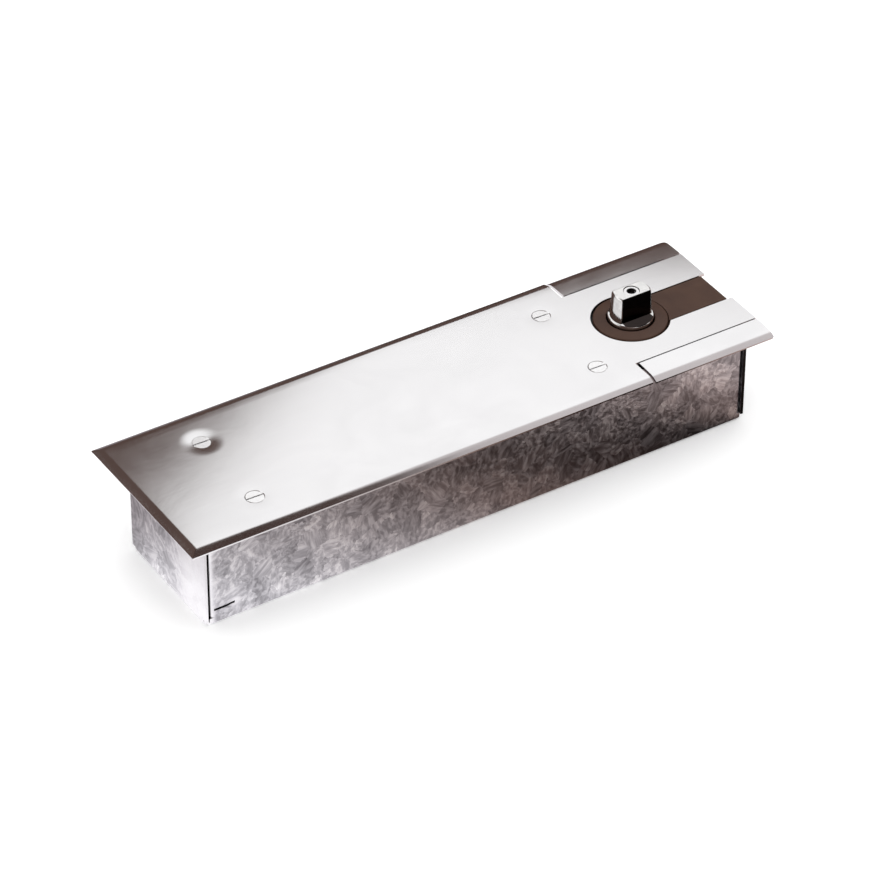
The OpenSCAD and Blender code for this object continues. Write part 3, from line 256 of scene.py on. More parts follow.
# ---------------------------------------------------------------- Housing
# The closer's body, one iron casting: a head for the cam, a tube for the spring, and feet
# that stand on levelling screws. It is painted a dull grey over the sand's grain.
painted, tree, shader, place = surface("painted_cast_iron", Roughness=0.55)
sand = add(tree, "ShaderNodeTexNoise", {
    "Vector": place, "Scale": 700.0, "Detail": 5.0, "Roughness": 0.6})
cloud = add(tree, "ShaderNodeTexNoise", {"Vector": place, "Scale": 45.0, "Detail": 3.0})
tint = add(tree, "ShaderNodeValToRGB", {"Fac": cloud}, stops=((0.3, "#46494C"), (0.7, "#595C5F")))
relief = add(tree, "ShaderNodeBump", {"Height": sand, "Strength": 0.5, "Distance": 0.0004})
feed(shader, {"Base Color": tint, "Normal": relief})
dress(painted, "housing", "housing_lid")

# ---------------------------------------------------------------- Bearings and shaft
# Two ball bearings carry the shaft. Rings and balls are ground chromium steel, the cages
# pressed brass; the shaft with its heart-shaped cam is forged, turned and hardened steel.

# lapped nearly to a mirror, with only a faint cloud in its shine
ground, tree, shader, place = surface("ground_bearing_steel", Metallic=1.0)
lapped = add(tree, "ShaderNodeTexNoise", {
    "Vector": place, "Scale": 260.0, "Detail": 6.0, "Roughness": 0.65})
tint = add(tree, "ShaderNodeValToRGB", {"Fac": lapped}, stops=((0.3, "#B9BABC"), (0.7, "#CFD0D2")))
dull = add(tree, "ShaderNodeMapRange", {"Value": lapped, "To Min": 0.1, "To Max": 0.24})
feed(shader, {"Base Color": tint, "Roughness": dull})
dress(ground, "upper_outer_ring", "upper_inner_ring", "lower_outer_ring", "lower_inner_ring",
      "upper_bearing_balls", "lower_bearing_balls", "cam_roller", "roller_pin", "check_ball")

# yellow from the lathe, with browner patches where oil has tarnished it
brass, tree, shader, place = surface("turned_brass", Metallic=1.0)
tarnish = add(tree, "ShaderNodeTexNoise", {"Vector": place, "Scale": 190.0, "Detail": 5.0})
tint = add(tree, "ShaderNodeValToRGB", {"Fac": tarnish}, stops=((0.3, "#A8854A"), (0.7, "#CDAA63")))
dull = add(tree, "ShaderNodeMapRange", {"Value": tarnish, "To Min": 0.22, "To Max": 0.4})
feed(shader, {"Base Color": tint, "Roughness": dull})
dress(brass, "upper_cage", "lower_cage", "check_retainer", "closing_valve", "latching_valve")

# pressed from powder, so its pores show as dark specks 0.4 mm apart
bronze, tree, shader, place = surface("sintered_bronze", Metallic=0.9, Roughness=0.45)
pores = add(tree, "ShaderNodeTexVoronoi", {"Vector": place, "Scale": 2600.0})
tint = add(tree, "ShaderNodeValToRGB", {"Fac": pores}, stops=((0.1, "#6E4A2C"), (0.5, "#A8763F")))
feed(shader, {"Base Color": tint})
dress(bronze, "roller_bush")

# left an uneven grey by the heat, with the lathe's fine rings
forged, tree, shader, place = surface("hardened_turned_steel", Metallic=1.0)
heat = add(tree, "ShaderNodeTexNoise", {"Vector": place, "Scale": 80.0, "Detail": 4.0})
tint = add(tree, "ShaderNodeValToRGB", {"Fac": heat}, stops=((0.3, "#6E6D70"), (0.7, "#96959A")))
dull = add(tree, "ShaderNodeMapRange", {"Value": heat, "To Min": 0.26, "To Max": 0.42})
# turning marks 0.35 mm apart, coarser than real so that they show
spot = add(tree, "ShaderNodeSeparateXYZ", {"Vector": place}).outputs
marks = add(tree, "ShaderNodeMath", (spot["Z"], 18000.0), operation="MULTIPLY")
marks = add(tree, "ShaderNodeMath", (marks,), operation="SINE")
relief = add(tree, "ShaderNodeBump", {"Height": marks, "Strength": 0.08, "Distance": 0.00005})
feed(shader, {"Base Color": tint, "Roughness": dull, "Normal": relief})
dress(forged, "cam_shaft", "piston")

# ---------------------------------------------------------------- Spring, plug and seals
# The closing spring is wound from oil-hardened wire, black with a dull sheen. The plug that
# holds it in the tube, the gasket under the lid and the rubber rings keep the oil in.
wound, tree, shader, place = surface("oil_hardened_spring_wire", Metallic=0.75, Roughness=0.42)
scale = add(tree, "ShaderNodeTexNoise", {
    "Vector": place, "Scale": 420.0, "Detail": 5.0, "Roughness": 0.7})
tint = add(tree, "ShaderNodeValToRGB", {"Fac": scale}, stops=((0.3, "#232326"), (0.7, "#45454A")))
relief = add(tree, "ShaderNodeBump", {"Height": scale, "Strength": 0.2, "Distance": 0.0001})
feed(shader, {"Base Color": tint, "Normal": relief})


def inputs_of(tree, **sorts):
    """Named inputs for a tree of geometry nodes, and the outputs of the node that gives them."""
    sockets = [("Geometry", "INPUT", "Geometry")]
    sockets += [(name.replace("_", " "), "INPUT", sort) for name, sort in sorts.items()]
    for name, way, sort in sockets + [("Geometry", "OUTPUT", "Geometry")]:
        tree.interface.new_socket(name=name, in_out=way, socket_type="NodeSocket" + sort)
    return add(tree, "NodeGroupInput").outputs


def grown(name, points, tree, **sizes):
    """A piece made by a tree of geometry nodes from these points."""
    seed = bpy.data.meshes.new(name)
    seed.from_pydata(points, [], [])
    made = bpy.data.objects.new(name, seed)
    bpy.context.scene.collection.objects.link(made)
    nodes = made.modifiers.new("shape", "NODES")
    nodes.node_group = tree
    for item in tree.interface.items_tree:
        value = sizes.get(item.name.replace(" ", "_"))
        if item.in_out == "INPUT" and value is not None:
            nodes[item.identifier] = value
    finished(made)
    smooth_shaded(made)
    return made


# the wire's middle line: the first and last turn lie close, with open turns between them
coil = bpy.data.node_groups.new("compression_spring", "GeometryNodeTree")
given = inputs_of(coil, Coil_Radius="Float", Wire_Radius="Float", Turns="Float", Length="Float",
                  Start="Vector", Material="Material")
rings = 720
wire = add(coil, "GeometryNodeCurvePrimitiveLine")
wire = add(coil, "GeometryNodeResampleCurve", {"Curve": wire, "Count": rings + 1})
index = add(coil, "GeometryNodeInputIndex")
turn = add(coil, "ShaderNodeMath", (index, float(rings)), operation="DIVIDE")
turn = add(coil, "ShaderNodeMath", (turn, given["Turns"]), operation="MULTIPLY")
closed = add(coil, "ShaderNodeMath", (given["Wire Radius"], 2.0), operation="MULTIPLY")
both_ends = add(coil, "ShaderNodeMath", (closed, 2.0), operation="MULTIPLY")
open_length = add(coil, "ShaderNodeMath", (given["Length"], both_ends), operation="SUBTRACT")
open_turns = add(coil, "ShaderNodeMath", (given["Turns"], 2.0), operation="SUBTRACT")
pitch = add(coil, "ShaderNodeMath", (open_length, open_turns), operation="DIVIDE")
first = add(coil, "ShaderNodeMath", (turn, 1.0), operation="MINIMUM")
first = add(coil, "ShaderNodeMath", (first, closed), operation="MULTIPLY")
last = add(coil, "ShaderNodeMath", (1.0, given["Turns"]), operation="SUBTRACT")
last = add(coil, "ShaderNodeMath", (turn, last), operation="ADD")
last = add(coil, "ShaderNodeMath", (last, 0.0), operation="MAXIMUM")
last = add(coil, "ShaderNodeMath", (last, closed), operation="MULTIPLY")
between = add(coil, "ShaderNodeMath", (turn, 1.0), operation="SUBTRACT")
between = add(coil, "ShaderNodeMath", (between, 0.0), operation="MAXIMUM")
between = add(coil, "ShaderNodeMath", (between, open_turns), operation="MINIMUM")
between = add(coil, "ShaderNodeMath", (between, pitch), operation="MULTIPLY")
along = add(coil, "ShaderNodeMath", (first, last), operation="ADD")
along = add(coil, "ShaderNodeMath", (along, between), operation="ADD")
angle = add(coil, "ShaderNodeMath", (turn, 2 * math.pi), operation="MULTIPLY")
cosine = add(coil, "ShaderNodeMath", (angle,), operation="COSINE")
sine = add(coil, "ShaderNodeMath", (angle,), operation="SINE")
place = add(coil, "ShaderNodeCombineXYZ", {
    "X": along,
    "Y": add(coil, "ShaderNodeMath", (given["Coil Radius"], cosine), operation="MULTIPLY"),
    "Z": add(coil, "ShaderNodeMath", (given["Coil Radius"], sine), operation="MULTIPLY")})
wire = add(coil, "GeometryNodeSetPosition", {"Geometry": wire, "Position": place})
section = add(coil, "GeometryNodeCurvePrimitiveCircle", {
    "Resolution": 16, "Radius": given["Wire Radius"]})
wire = add(coil, "GeometryNodeCurveToMesh", {
    "Curve": wire, "Profile Curve": section, "Fill Caps": True})
# both ends are ground off square
at = add(coil, "GeometryNodeInputPosition")
at = add(coil, "ShaderNodeSeparateXYZ", {"Vector": at}).outputs
ground_x = add(coil, "ShaderNodeMath", (at["X"], 0.0), operation="MAXIMUM")
ground_x = add(coil, "ShaderNodeMath", (ground_x, given["Length"]), operation="MINIMUM")
place = add(coil, "ShaderNodeCombineXYZ", {
    "X": ground_x, "Y": at["Y"], "Z": at["Z"]})
wire = add(coil, "GeometryNodeSetPosition", {
    "Geometry": wire, "Position": place, "Offset": given["Start"]})
wire = add(coil, "GeometryNodeRealizeInstances", {"Geometry": wire})
wire = add(coil, "GeometryNodeSetMaterial", {"Geometry": wire, "Material": given["Material"]})
add(coil, "NodeGroupOutput", {"Geometry": wire})

spring_low, spring_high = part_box("closing_spring")
spring_length = spring_high[0] - spring_low[0]
spring = grown("wound_spring", [(0, 0, 0)], coil, Coil_Radius=0.01625, Wire_Radius=0.00348,
               Turns=18.0, Length=spring_length,
               Start=(spring_low[0], 0.0, (spring_low[2] + spring_high[2]) / 2), Material=wound)
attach(spring, "root")
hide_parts("closing_spring")
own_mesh(spring)

# black, with the faint grey bloom of rubber
rubber, tree, shader, place = surface("nitrile_rubber", Roughness=0.6, Specular_IOR_Level=0.35)
bloom = add(tree, "ShaderNodeTexNoise", {"Vector": place, "Scale": 500.0, "Detail": 4.0})
tint = add(tree, "ShaderNodeValToRGB", {"Fac": bloom}, stops=((0.35, "#151515"), (0.75, "#262525")))
feed(shader, {"Base Color": tint})
dress(rubber, "shaft_seal", "end_plug_seal", "closing_valve_seal", "latching_valve_seal")

# a waxy brown with bronze dust in it, drawn as flecks 0.4 mm apart
filled, tree, shader, place = surface("bronze_filled_ptfe", Roughness=0.4)
flecks = add(tree, "ShaderNodeTexNoise", {"Vector": place, "Scale": 2500.0, "Detail": 2.0})
tint = add(tree, "ShaderNodeValToRGB", {"Fac": flecks}, stops=((0.4, "#8F7C5B"), (0.65, "#BBAA85")))
feed(shader, {"Base Color": tint})
dress(filled, "piston_seal")

# matt grey-green, felted from fibres that run all ways
fibre, tree, shader, place = surface("gasket_fibre", Roughness=0.85)
strands = add(tree, "ShaderNodeTexNoise", {
    "Vector": place, "Scale": 1400.0, "Detail": 4.0, "Distortion": 1.5})
tint = add(tree, "ShaderNodeValToRGB", {"Fac": strands}, stops=((0.3, "#3D4A3C"), (0.7, "#5C6A57")))
feed(shader, {"Base Color": tint})
dress(fibre, "lid_gasket")

# ---------------------------------------------------------------- Setting screws, nuts and plugs
# Zinc-plated steel: headless levelling screws under the feet, socket-head screws that clamp
# the closer down to nuts welded in the box, the lid's screws, and the oil plugs.

# thin and bright, a little bluer in places than in others
plated, tree, shader, place = surface("bright_zinc_plating", Metallic=1.0)
passed = add(tree, "ShaderNodeTexNoise", {"Vector": place, "Scale": 160.0, "Detail": 5.0})
tint = add(tree, "ShaderNodeValToRGB", {"Fac": passed}, stops=((0.3, "#A2A6AC"), (0.7, "#C3C4C3")))
dull = add(tree, "ShaderNodeMapRange", {"Value": passed, "To Min": 0.24, "To Max": 0.4})
feed(shader, {"Base Color": tint, "Roughness": dull})
dress(plated, "box_nuts", "filler_plug", "channel_plugs", "end_plug")

# a turned screw: the points of its outline are swung round its axis, a slot or a hexagon is cut
# in its head, and a thread winds round its shank
screw = bpy.data.node_groups.new("turned_screws", "GeometryNodeTree")
given = inputs_of(screw, Head_Radius="Float", Under_Radius="Float", Head_Height="Float",
                  Radius="Float", Length="Float", Pitch="Float", Drive_Sides="Int",
                  Drive_Size="Vector", Lean="Vector", Material="Material")
chamfer = add(screw, "ShaderNodeMath", (given["Head Radius"], 0.04), operation="MULTIPLY")
face = add(screw, "ShaderNodeMath", (given["Head Radius"], chamfer), operation="SUBTRACT")
# how far out and how high each point is: a size, and the share of it
outline = [((face, 0.0), (chamfer, 0.0)), ((face, 1.0), (chamfer, 0.0)),
           ((given["Head Radius"], 1.0), (chamfer, -0.7)),
           ((given["Under Radius"], 1.0), (given["Head Height"], -1.0)),
           ((given["Radius"], 1.0), (given["Head Height"], -1.001)),
           ((given["Radius"], 1.0), (given["Length"], -0.96)),
           ((given["Radius"], 0.8), (given["Length"], -1.0)),
           ((given["Radius"], 0.0), (given["Length"], -1.0))]
steps = len(outline) - 1
grid = add(screw, "GeometryNodeMeshGrid", {
    "Size X": float(steps), "Size Y": 2 * math.pi, "Vertices X": steps + 1, "Vertices Y": 49})
at = add(screw, "GeometryNodeInputPosition")
at = add(screw, "ShaderNodeSeparateXYZ", {"Vector": at}).outputs
which = add(screw, "ShaderNodeMath", (at["X"], steps / 2), operation="ADD")
which = add(screw, "FunctionNodeFloatToInt", {"Float": which})
chosen = []
for part in (0, 1):
    switch = add(screw, "GeometryNodeIndexSwitch", data_type="FLOAT")
    while len(switch.index_switch_items) < len(outline):
        switch.index_switch_items.new()
    feed(switch, {"Index": which})
    for number, point in enumerate(outline):
        reach = add(screw, "ShaderNodeMath", point[part], operation="MULTIPLY")
        feed(switch, {number + 1: reach})
    chosen.append(switch)
out, height = chosen
cosine = add(screw, "ShaderNodeMath", (at["Y"],), operation="COSINE")
sine = add(screw, "ShaderNodeMath", (at["Y"],), operation="SINE")
place = add(screw, "ShaderNodeCombineXYZ", {
    "X": add(screw, "ShaderNodeMath", (out, cosine), operation="MULTIPLY"),
    "Y": add(screw, "ShaderNodeMath", (out, sine), operation="MULTIPLY"), "Z": height})
blank = add(screw, "GeometryNodeSetPosition", {"Geometry": grid, "Position": place})
blank = add(screw, "GeometryNodeMergeByDistance", {"Geometry": blank, "Distance": 1e-6})
driver = add(screw, "GeometryNodeMeshCylinder", {
    "Vertices": given["Drive Sides"], "Radius": 2 ** -0.5, "Depth": 2.0})
driver = add(screw, "GeometryNodeTransform", {
    "Geometry": driver, "Rotation": (0.0, 0.0, math.pi / 4)})
driver = add(screw, "GeometryNodeTransform", {"Geometry": driver, "Scale": given["Drive Size"]})
blank = add(screw, "GeometryNodeMeshBoolean", {"Mesh 1": blank, "Mesh 2": driver},
            operation="DIFFERENCE")
threaded = add(screw, "ShaderNodeMath", (given["Length"], 0.9), operation="MULTIPLY")
threaded = add(screw, "ShaderNodeMath", (threaded, given["Head Height"]), operation="SUBTRACT")
helix = add(screw, "GeometryNodeCurveSpiral", {
    "Resolution": 20, "Start Radius": given["Radius"], "End Radius": given["Radius"],
    "Height": threaded,
    "Rotations": add(screw, "ShaderNodeMath", (threaded, given["Pitch"]), operation="DIVIDE")})
ridge = add(screw, "ShaderNodeMath", (given["Pitch"], 0.3), operation="MULTIPLY")
ridge = add(screw, "GeometryNodeCurvePrimitiveCircle", {"Resolution": 3, "Radius": ridge})
helix = add(screw, "GeometryNodeCurveToMesh", {
    "Curve": helix, "Profile Curve": ridge, "Fill Caps": True})
foot = add(screw, "ShaderNodeMath", (given["Length"], -0.95), operation="MULTIPLY")
foot = add(screw, "ShaderNodeCombineXYZ", {"Z": foot})
helix = add(screw, "GeometryNodeTransform", {"Geometry": helix, "Translation": foot})
whole = add(screw, "GeometryNodeJoinGeometry", {"Geometry": [blank, helix]})
whole = add(screw, "GeometryNodeInstanceOnPoints", {
    "Points": given["Geometry"], "Instance": whole, "Rotation": given["Lean"]})
whole = add(screw, "GeometryNodeRealizeInstances", {"Geometry": whole})
whole = add(screw, "GeometryNodeSetMaterial", {"Geometry": whole, "Material": given["Material"]})
add(screw, "NodeGroupOutput", {"Geometry": whole})


def screws(name, node, slot, points, **sizes):
    """A set of screws that stands for the plain ones of the solid."""
    made = grown(name, points, screw, **sizes)
    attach(made, "root")
    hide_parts(node)


lid_x, lid_y, lid_top = 0.0275, 0.028, 0.0579
screws("lid_socket_screws", "lid_screws", "zinc_steel",
       [(x, y, lid_top) for x in (-lid_x, lid_x) for y in (-lid_y, lid_y)],
       Head_Radius=0.0045, Under_Radius=0.0024, Head_Height=0.0022, Radius=0.0022,
       Length=0.0159, Pitch=0.0008,
       Drive_Sides=6, Drive_Size=(0.0042, 0.0042, 0.002), Material=plated)
head_feet, tube_feet, feet_top = (0.039, 0.029), (-0.278, 0.0275), 0.02
screws("levelling_grub_screws", "levelling_screws", "zinc_steel",
       [(x, s * y, feet_top) for x, y in (head_feet, tube_feet) for s in (-1, 1)],
       Head_Radius=0.0028, Under_Radius=0.0028, Head_Height=0.0005, Radius=0.0026,
       Length=0.0185, Pitch=0.001,
       Drive_Sides=6, Drive_Size=(0.0042, 0.0042, 0.003), Material=plated)
tube_clamp_x, tube_clamp_y, tube_clamp_top = -0.2685, 0.0275, 0.024
head_clamp = (0.039, 0, 0.026)
screws("clamping_cap_screws", "clamp_screws", "zinc_steel",
       [(tube_clamp_x, y, tube_clamp_top) for y in (-tube_clamp_y, tube_clamp_y)] + [head_clamp],
       Head_Radius=0.00498, Under_Radius=0.00498, Head_Height=0.006, Radius=0.0026,
       Length=0.0214, Pitch=0.001,
       Drive_Sides=6, Drive_Size=(0.007, 0.007, 0.003), Material=plated)

# ---------------------------------------------------------------- Cover plate and side strips
# The cover is stainless sheet, cold-rolled to a satin skin, with three edges rolled down and a
# dimple pressed round each screw. The strips beside the spindle are cut from the same sheet.
satin, tree, shader, place = surface("satin_stainless_sheet", Metallic=1.0)
# the mill's rolls leave a faint lay along the sheet, drawn out 40 to 1
drawn = add(tree, "ShaderNodeMapping", {"Vector": place, "Scale": (40.0, 1600.0, 1600.0)})
lay = add(tree, "ShaderNodeTexNoise", {"Vector": drawn, "Scale": 1.0, "Detail": 3.0})
smear = add(tree, "ShaderNodeTexNoise", {
    "Vector": place, "Scale": 24.0, "Detail": 4.0, "Roughness": 0.55, "Distortion": 0.6})
tint = add(tree, "ShaderNodeValToRGB", {"Fac": smear}, stops=((0.3, "#E1E0E1"), (0.7, "#EAE9EA")))
dull = add(tree, "ShaderNodeMath", (lay, 0.35, smear), operation="MULTIPLY_ADD")
dull = add(tree, "ShaderNodeMapRange", {
    "Value": dull, "From Min": 0.45, "From Max": 0.9, "To Min": 0.12, "To Max": 0.16})
buckle = add(tree, "ShaderNodeBump", {"Height": smear, "Strength": 1.0, "Distance": 0.00004})
relief = add(tree, "ShaderNodeBump", {
    "Height": lay, "Strength": 0.05, "Distance": 0.00004, "Normal": buckle})
feed(shader, {"Base Color": tint, "Roughness": dull, "Normal": relief})

low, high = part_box("cover_plate")
top, edge_y = high[2], high[1]
sheet_t, rim, roll_drop, fold = 0.0015, 0.0055, 0.0016, 0.0034
slope = roll_drop / (rim - fold / 2)
head_r, seat_r, dish_r = 0.0054, 0.0052, 0.0125
screw_low, screw_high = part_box("cover_screws")
# one screw has been driven harder than the rest, so the sheet is dished deeper there
screws_at = [(x, y, 0.0003 if x < -0.2 and y > 0 else 0.00006)
             for x in (screw_low[0] + head_r - 0.00005, screw_high[0] - head_r + 0.00005)
             for y in (screw_low[1] + head_r, screw_high[1] - head_r)]


def rolled(inward):
    """How far the sheet has come down at this distance in from a rolled edge."""
    out = max(0.0, rim - inward)
    return slope * out * out / (2 * fold) if out < fold else slope * (out - fold / 2)


def plate_height(x, y):
    """The plate's top: level, rolled down at three edges, and dished round each screw."""
    z = top - rolled(min(x - low[0], edge_y - abs(y)))
    for at_x, at_y, dish_drop in screws_at:
        away = math.hypot(x - at_x, y - at_y)
        near = min(1.0, max(0.0, (dish_r - away) / (dish_r - seat_r)))
        z -= dish_drop * near * near
    return z


def grid_lines(start, end, coarse, *spans):
    """Places from start to end: coarse apart, and closer within each (from, to, step)."""
    places = {start, end}
    for first, last, step in spans:
        count = round((last - first) / step)
        places.update(first + (last - first) * i / count for i in range(count + 1))
    steps = round((end - start) / coarse)
    for i in range(1, steps):
        place = start + (end - start) * i / steps
        if all(not first - coarse / 3 < place < last + coarse / 3 for first, last, step in spans):
            places.add(place)
    return sorted(places)


def sheet_over(name, xs, ys, point):
    """Sheet of even thickness whose upper side passes through point(x, y)."""
    made = bpy.data.objects.new(name, bpy.data.meshes.new(name))
    bpy.context.scene.collection.objects.link(made)
    across = len(ys)
    corners = [i * across + j for i in range(len(xs) - 1) for j in range(across - 1)]
    made.data.from_pydata([point(x, y) for x in xs for y in ys], [],
                          [(c, c + across, c + across + 1, c + 1) for c in corners])
    thick = made.modifiers.new("sheet", "SOLIDIFY")
    thick.thickness, thick.offset, thick.use_even_offset = sheet_t, -1, True
    return finished(made)


def cut_away(made, *tools):
    """Takes the tools' shapes out of the piece, one after another."""
    for tool in tools:
        cutter = bpy.data.objects.new("tool", tool)
        bpy.context.scene.collection.objects.link(cutter)
        cut = made.modifiers.new("cut", "BOOLEAN")
        cut.object, cut.operation, cut.solver = cutter, "DIFFERENCE", "EXACT"
        finished(made)
        bpy.data.objects.remove(cutter)


def rods_and_blocks(rods, blocks):
    """Tools for cutting: rods (x, y, lower z, upper z, lower r, upper r), blocks (low, high)."""
    mesh = bmesh.new()
    for x, y, z0, z1, r0, r1 in rods:
        bmesh.ops.create_cone(mesh, cap_ends=True, segments=96, radius1=r0, radius2=r1,
                              depth=z1 - z0, matrix=Matrix.Translation((x, y, (z0 + z1) / 2)))
    for a, b in blocks:
        middle = Matrix.Translation([(a[i] + b[i]) / 2 for i in range(3)])
        sides = Matrix.Diagonal([b[i] - a[i] for i in range(3)] + [1])
        bmesh.ops.create_cube(mesh, size=1, matrix=middle @ sides)
    tool = bpy.data.meshes.new("tool")
    mesh.to_mesh(tool)
    mesh.free()
    return tool


hole_r, slot_half, strip_x, strip_y, joint_gap = 0.0219, 0.0132, -0.0192, 0.0367, 0.0009
above, below, past_end = top + 0.01, top - 0.01, high[0] + 0.01
dish_step = 0.0009
dishes_x = [(x - dish_r, x + dish_r, dish_step) for x in sorted({x for x, y, drop in screws_at})]
dishes_y = [(y - dish_r, y + dish_r, dish_step) for y in sorted({y for x, y, drop in screws_at})]
plate = sheet_over(
    "rolled_cover_plate",
    grid_lines(low[0], high[0], 0.007, (low[0], low[0] + rim, 0.0005), *dishes_x),
    grid_lines(-edge_y, edge_y, 0.005, (-edge_y, rim - edge_y, 0.0005),
               (edge_y - rim, edge_y, 0.0005), *dishes_y),
    lambda x, y: (x, y, plate_height(x, y)))
spindle_hole = (0, 0, below, above, hole_r, hole_r)
countersinks = [(x, y, top - 0.005, top + 0.001, seat_r - 0.0048, seat_r + 0.0012)
                for x, y, drop in screws_at]
tongue_y = strip_y - joint_gap
strip_gaps = [((strip_x - 0.002, -0.06, below), (past_end, -tongue_y, above)),
              ((strip_x - 0.002, tongue_y, below), (past_end, 0.06, above))]
slot_gap = ((0, -slot_half, below), (past_end, slot_half, above))
cut_away(plate, rods_and_blocks([spindle_hole] + countersinks, strip_gaps),
         rods_and_blocks([], [slot_gap]))
smooth_shaded(plate)
plate.data.materials.append(satin)
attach(plate, "root")
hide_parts("cover_plate")

# each strip is crowned: it leaves the joint almost level and leans outwards more and more
strip_w = edge_y - 0.00007 - strip_y
first_lean, later_lean = math.tan(math.radians(1.8)), math.tan(math.radians(1.6))
# the clip's outline, in y and z: it hangs from the strip's ledge and hooks inside the box
clip_x, clip_y, ledge, leg = (-0.0138, 0.0445), strip_y + 0.0002, 0.0435, 0.0373
hook, shelf, shelf_top, under = 0.048, 0.06, 0.0618, top - sheet_t + 0.00002


def strip_drop(out):
    """How far the crowned strip lies below the plate, this far out from its joint."""
    return first_lean * out + later_lean * out * out / (2 * strip_w)


for side, node, name, strip_round in ((-1, "front_side_strip", "near_strip", 0.0006),
                                      (1, "rear_side_strip", "far_strip", 0.002)):
    start = high[0] - 2 * strip_round

    def strip_point(x, y):
        """A point of the strip, drawn in towards its rounded outer corner."""
        inward = strip_y + strip_w - y
        bend = max(0.0, strip_round - inward)
        end = high[0] - (strip_round - math.sqrt(strip_round ** 2 - bend ** 2))
        if x > start:
            x = start + (x - start) * (end - start) / (high[0] - start)
        return x, side * y, top - strip_drop(y - strip_y) - rolled(inward)

    strip_edge = strip_y + strip_w
    strip = sheet_over(
        name, grid_lines(strip_x, high[0], 0.006, (start, high[0], 0.0005)),
        grid_lines(strip_y, strip_edge, 0.001, (strip_edge - rim, strip_edge, 0.0004))[::side],
        strip_point)
    clip = [(ledge, under - strip_drop(ledge - strip_y)), (ledge, shelf), (leg, shelf),
            (leg, hook), (leg - sheet_t, hook), (leg - sheet_t, shelf_top),
            (clip_y, shelf_top), (clip_y, under)]
    mesh = bmesh.new()
    mesh.from_mesh(strip.data)
    ends = [[mesh.verts.new((x, side * y, z)) for y, z in clip] for x in clip_x]
    for end in ends:
        mesh.faces.new(end)
    for i in range(len(clip)):
        mesh.faces.new((ends[0][i - 1], ends[0][i], ends[1][i], ends[1][i - 1]))
    mesh.to_mesh(strip.data)
    mesh.free()
    smooth_shaded(strip)
    strip.data.materials.append(satin)
    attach(strip, "root")
    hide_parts(node)

# ---------------------------------------------------------------- Cover screws and spindle bolt
# Stainless screws: four slotted ones sit flush in the plate's dimples, and a socket-head bolt
# draws the spindle down into its shaft. Their heads are turned, so the light runs in rings.
turned, tree, shader, place = surface("turned_stainless", Metallic=1.0, Roughness=0.22)
grain = add(tree, "ShaderNodeTexNoise", {"Vector": place, "Scale": 900.0, "Detail": 3.0})
tint = add(tree, "ShaderNodeValToRGB", {"Fac": grain}, stops=((0.3, "#F0EFF0"), (0.7, "#FAFAFA")))
relief = add(tree, "ShaderNodeBump", {"Height": grain, "Strength": 0.08, "Distance": 0.00005})
feed(shader, {"Base Color": tint, "Normal": relief})

# painted shade darkens the bolt in its socket and where it sits sunk in the spindle's bore, all but
# the rim of its head
bolt_painted_shade, tree, shader, place = surface("oiled_socket_bolt", Metallic=1.0, Roughness=0.22)
bolt_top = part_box("spindle_bolt")[1][2]
grain = add(tree, "ShaderNodeTexNoise", {"Vector": place, "Scale": 900.0, "Detail": 3.0})
spot = add(tree, "ShaderNodeSeparateXYZ", {"Vector": place}).outputs
height = add(tree, "ShaderNodeMath", (grain, 0.0001, spot["Z"]), operation="MULTIPLY_ADD")
height = add(tree, "ShaderNodeMapRange", {
    "Value": height, "From Min": bolt_top - 0.0002, "From Max": bolt_top - 0.00005})
wide = add(tree, "ShaderNodeVectorMath", (place, (1.0, 1.0, 0.0)), operation="MULTIPLY")
wide = add(tree, "ShaderNodeVectorMath", (wide,), operation="LENGTH")
wide = add(tree, "ShaderNodeMapRange", {
    "Value": wide.outputs["Value"], "From Min": 0.0026, "From Max": 0.0028})
rim_left_unshaded = add(tree, "ShaderNodeMath", (height, wide), operation="MULTIPLY")
tint = add(tree, "ShaderNodeValToRGB", {"Fac": rim_left_unshaded}, stops=((0.0, "#100D0C"), (1.0, "#F0EFF0")))
feed(shader, {"Base Color": tint})
bolt = with_broken_edges("spindle_bolt", "socket_spindle_bolt", "spindle",
                         bolt_painted_shade, width=0.00015)
screws("slotted_cover_screws", "cover_screws", "stainless_screw",
       [(x, y, top - drop - 0.00003) for x, y, drop in screws_at],
       Head_Radius=0.0051, Under_Radius=0.003, Head_Height=0.0026, Radius=0.0026,
       Length=0.0169, Pitch=0.001,
       Drive_Sides=4, Drive_Size=(0.02, 0.0009, 0.0013), Lean=(0.027, 0.027, 0.0),
       Material=turned)

# ---------------------------------------------------------------- Spindle
# The piece that carries the door's arm. It is milled from steel with two flats, and plated, so
# it is the brightest thing on the closer and mirrors what stands round it.
chromed, tree, shader, place = surface("chromed_milled_steel", Metallic=1.0)
wear = add(tree, "ShaderNodeTexNoise", {
    "Vector": place, "Scale": 300.0, "Detail": 5.0, "Roughness": 0.6})
tint = add(tree, "ShaderNodeValToRGB", {"Fac": wear}, stops=((0.3, "#D4D3D2"), (0.7, "#E8E7E6")))
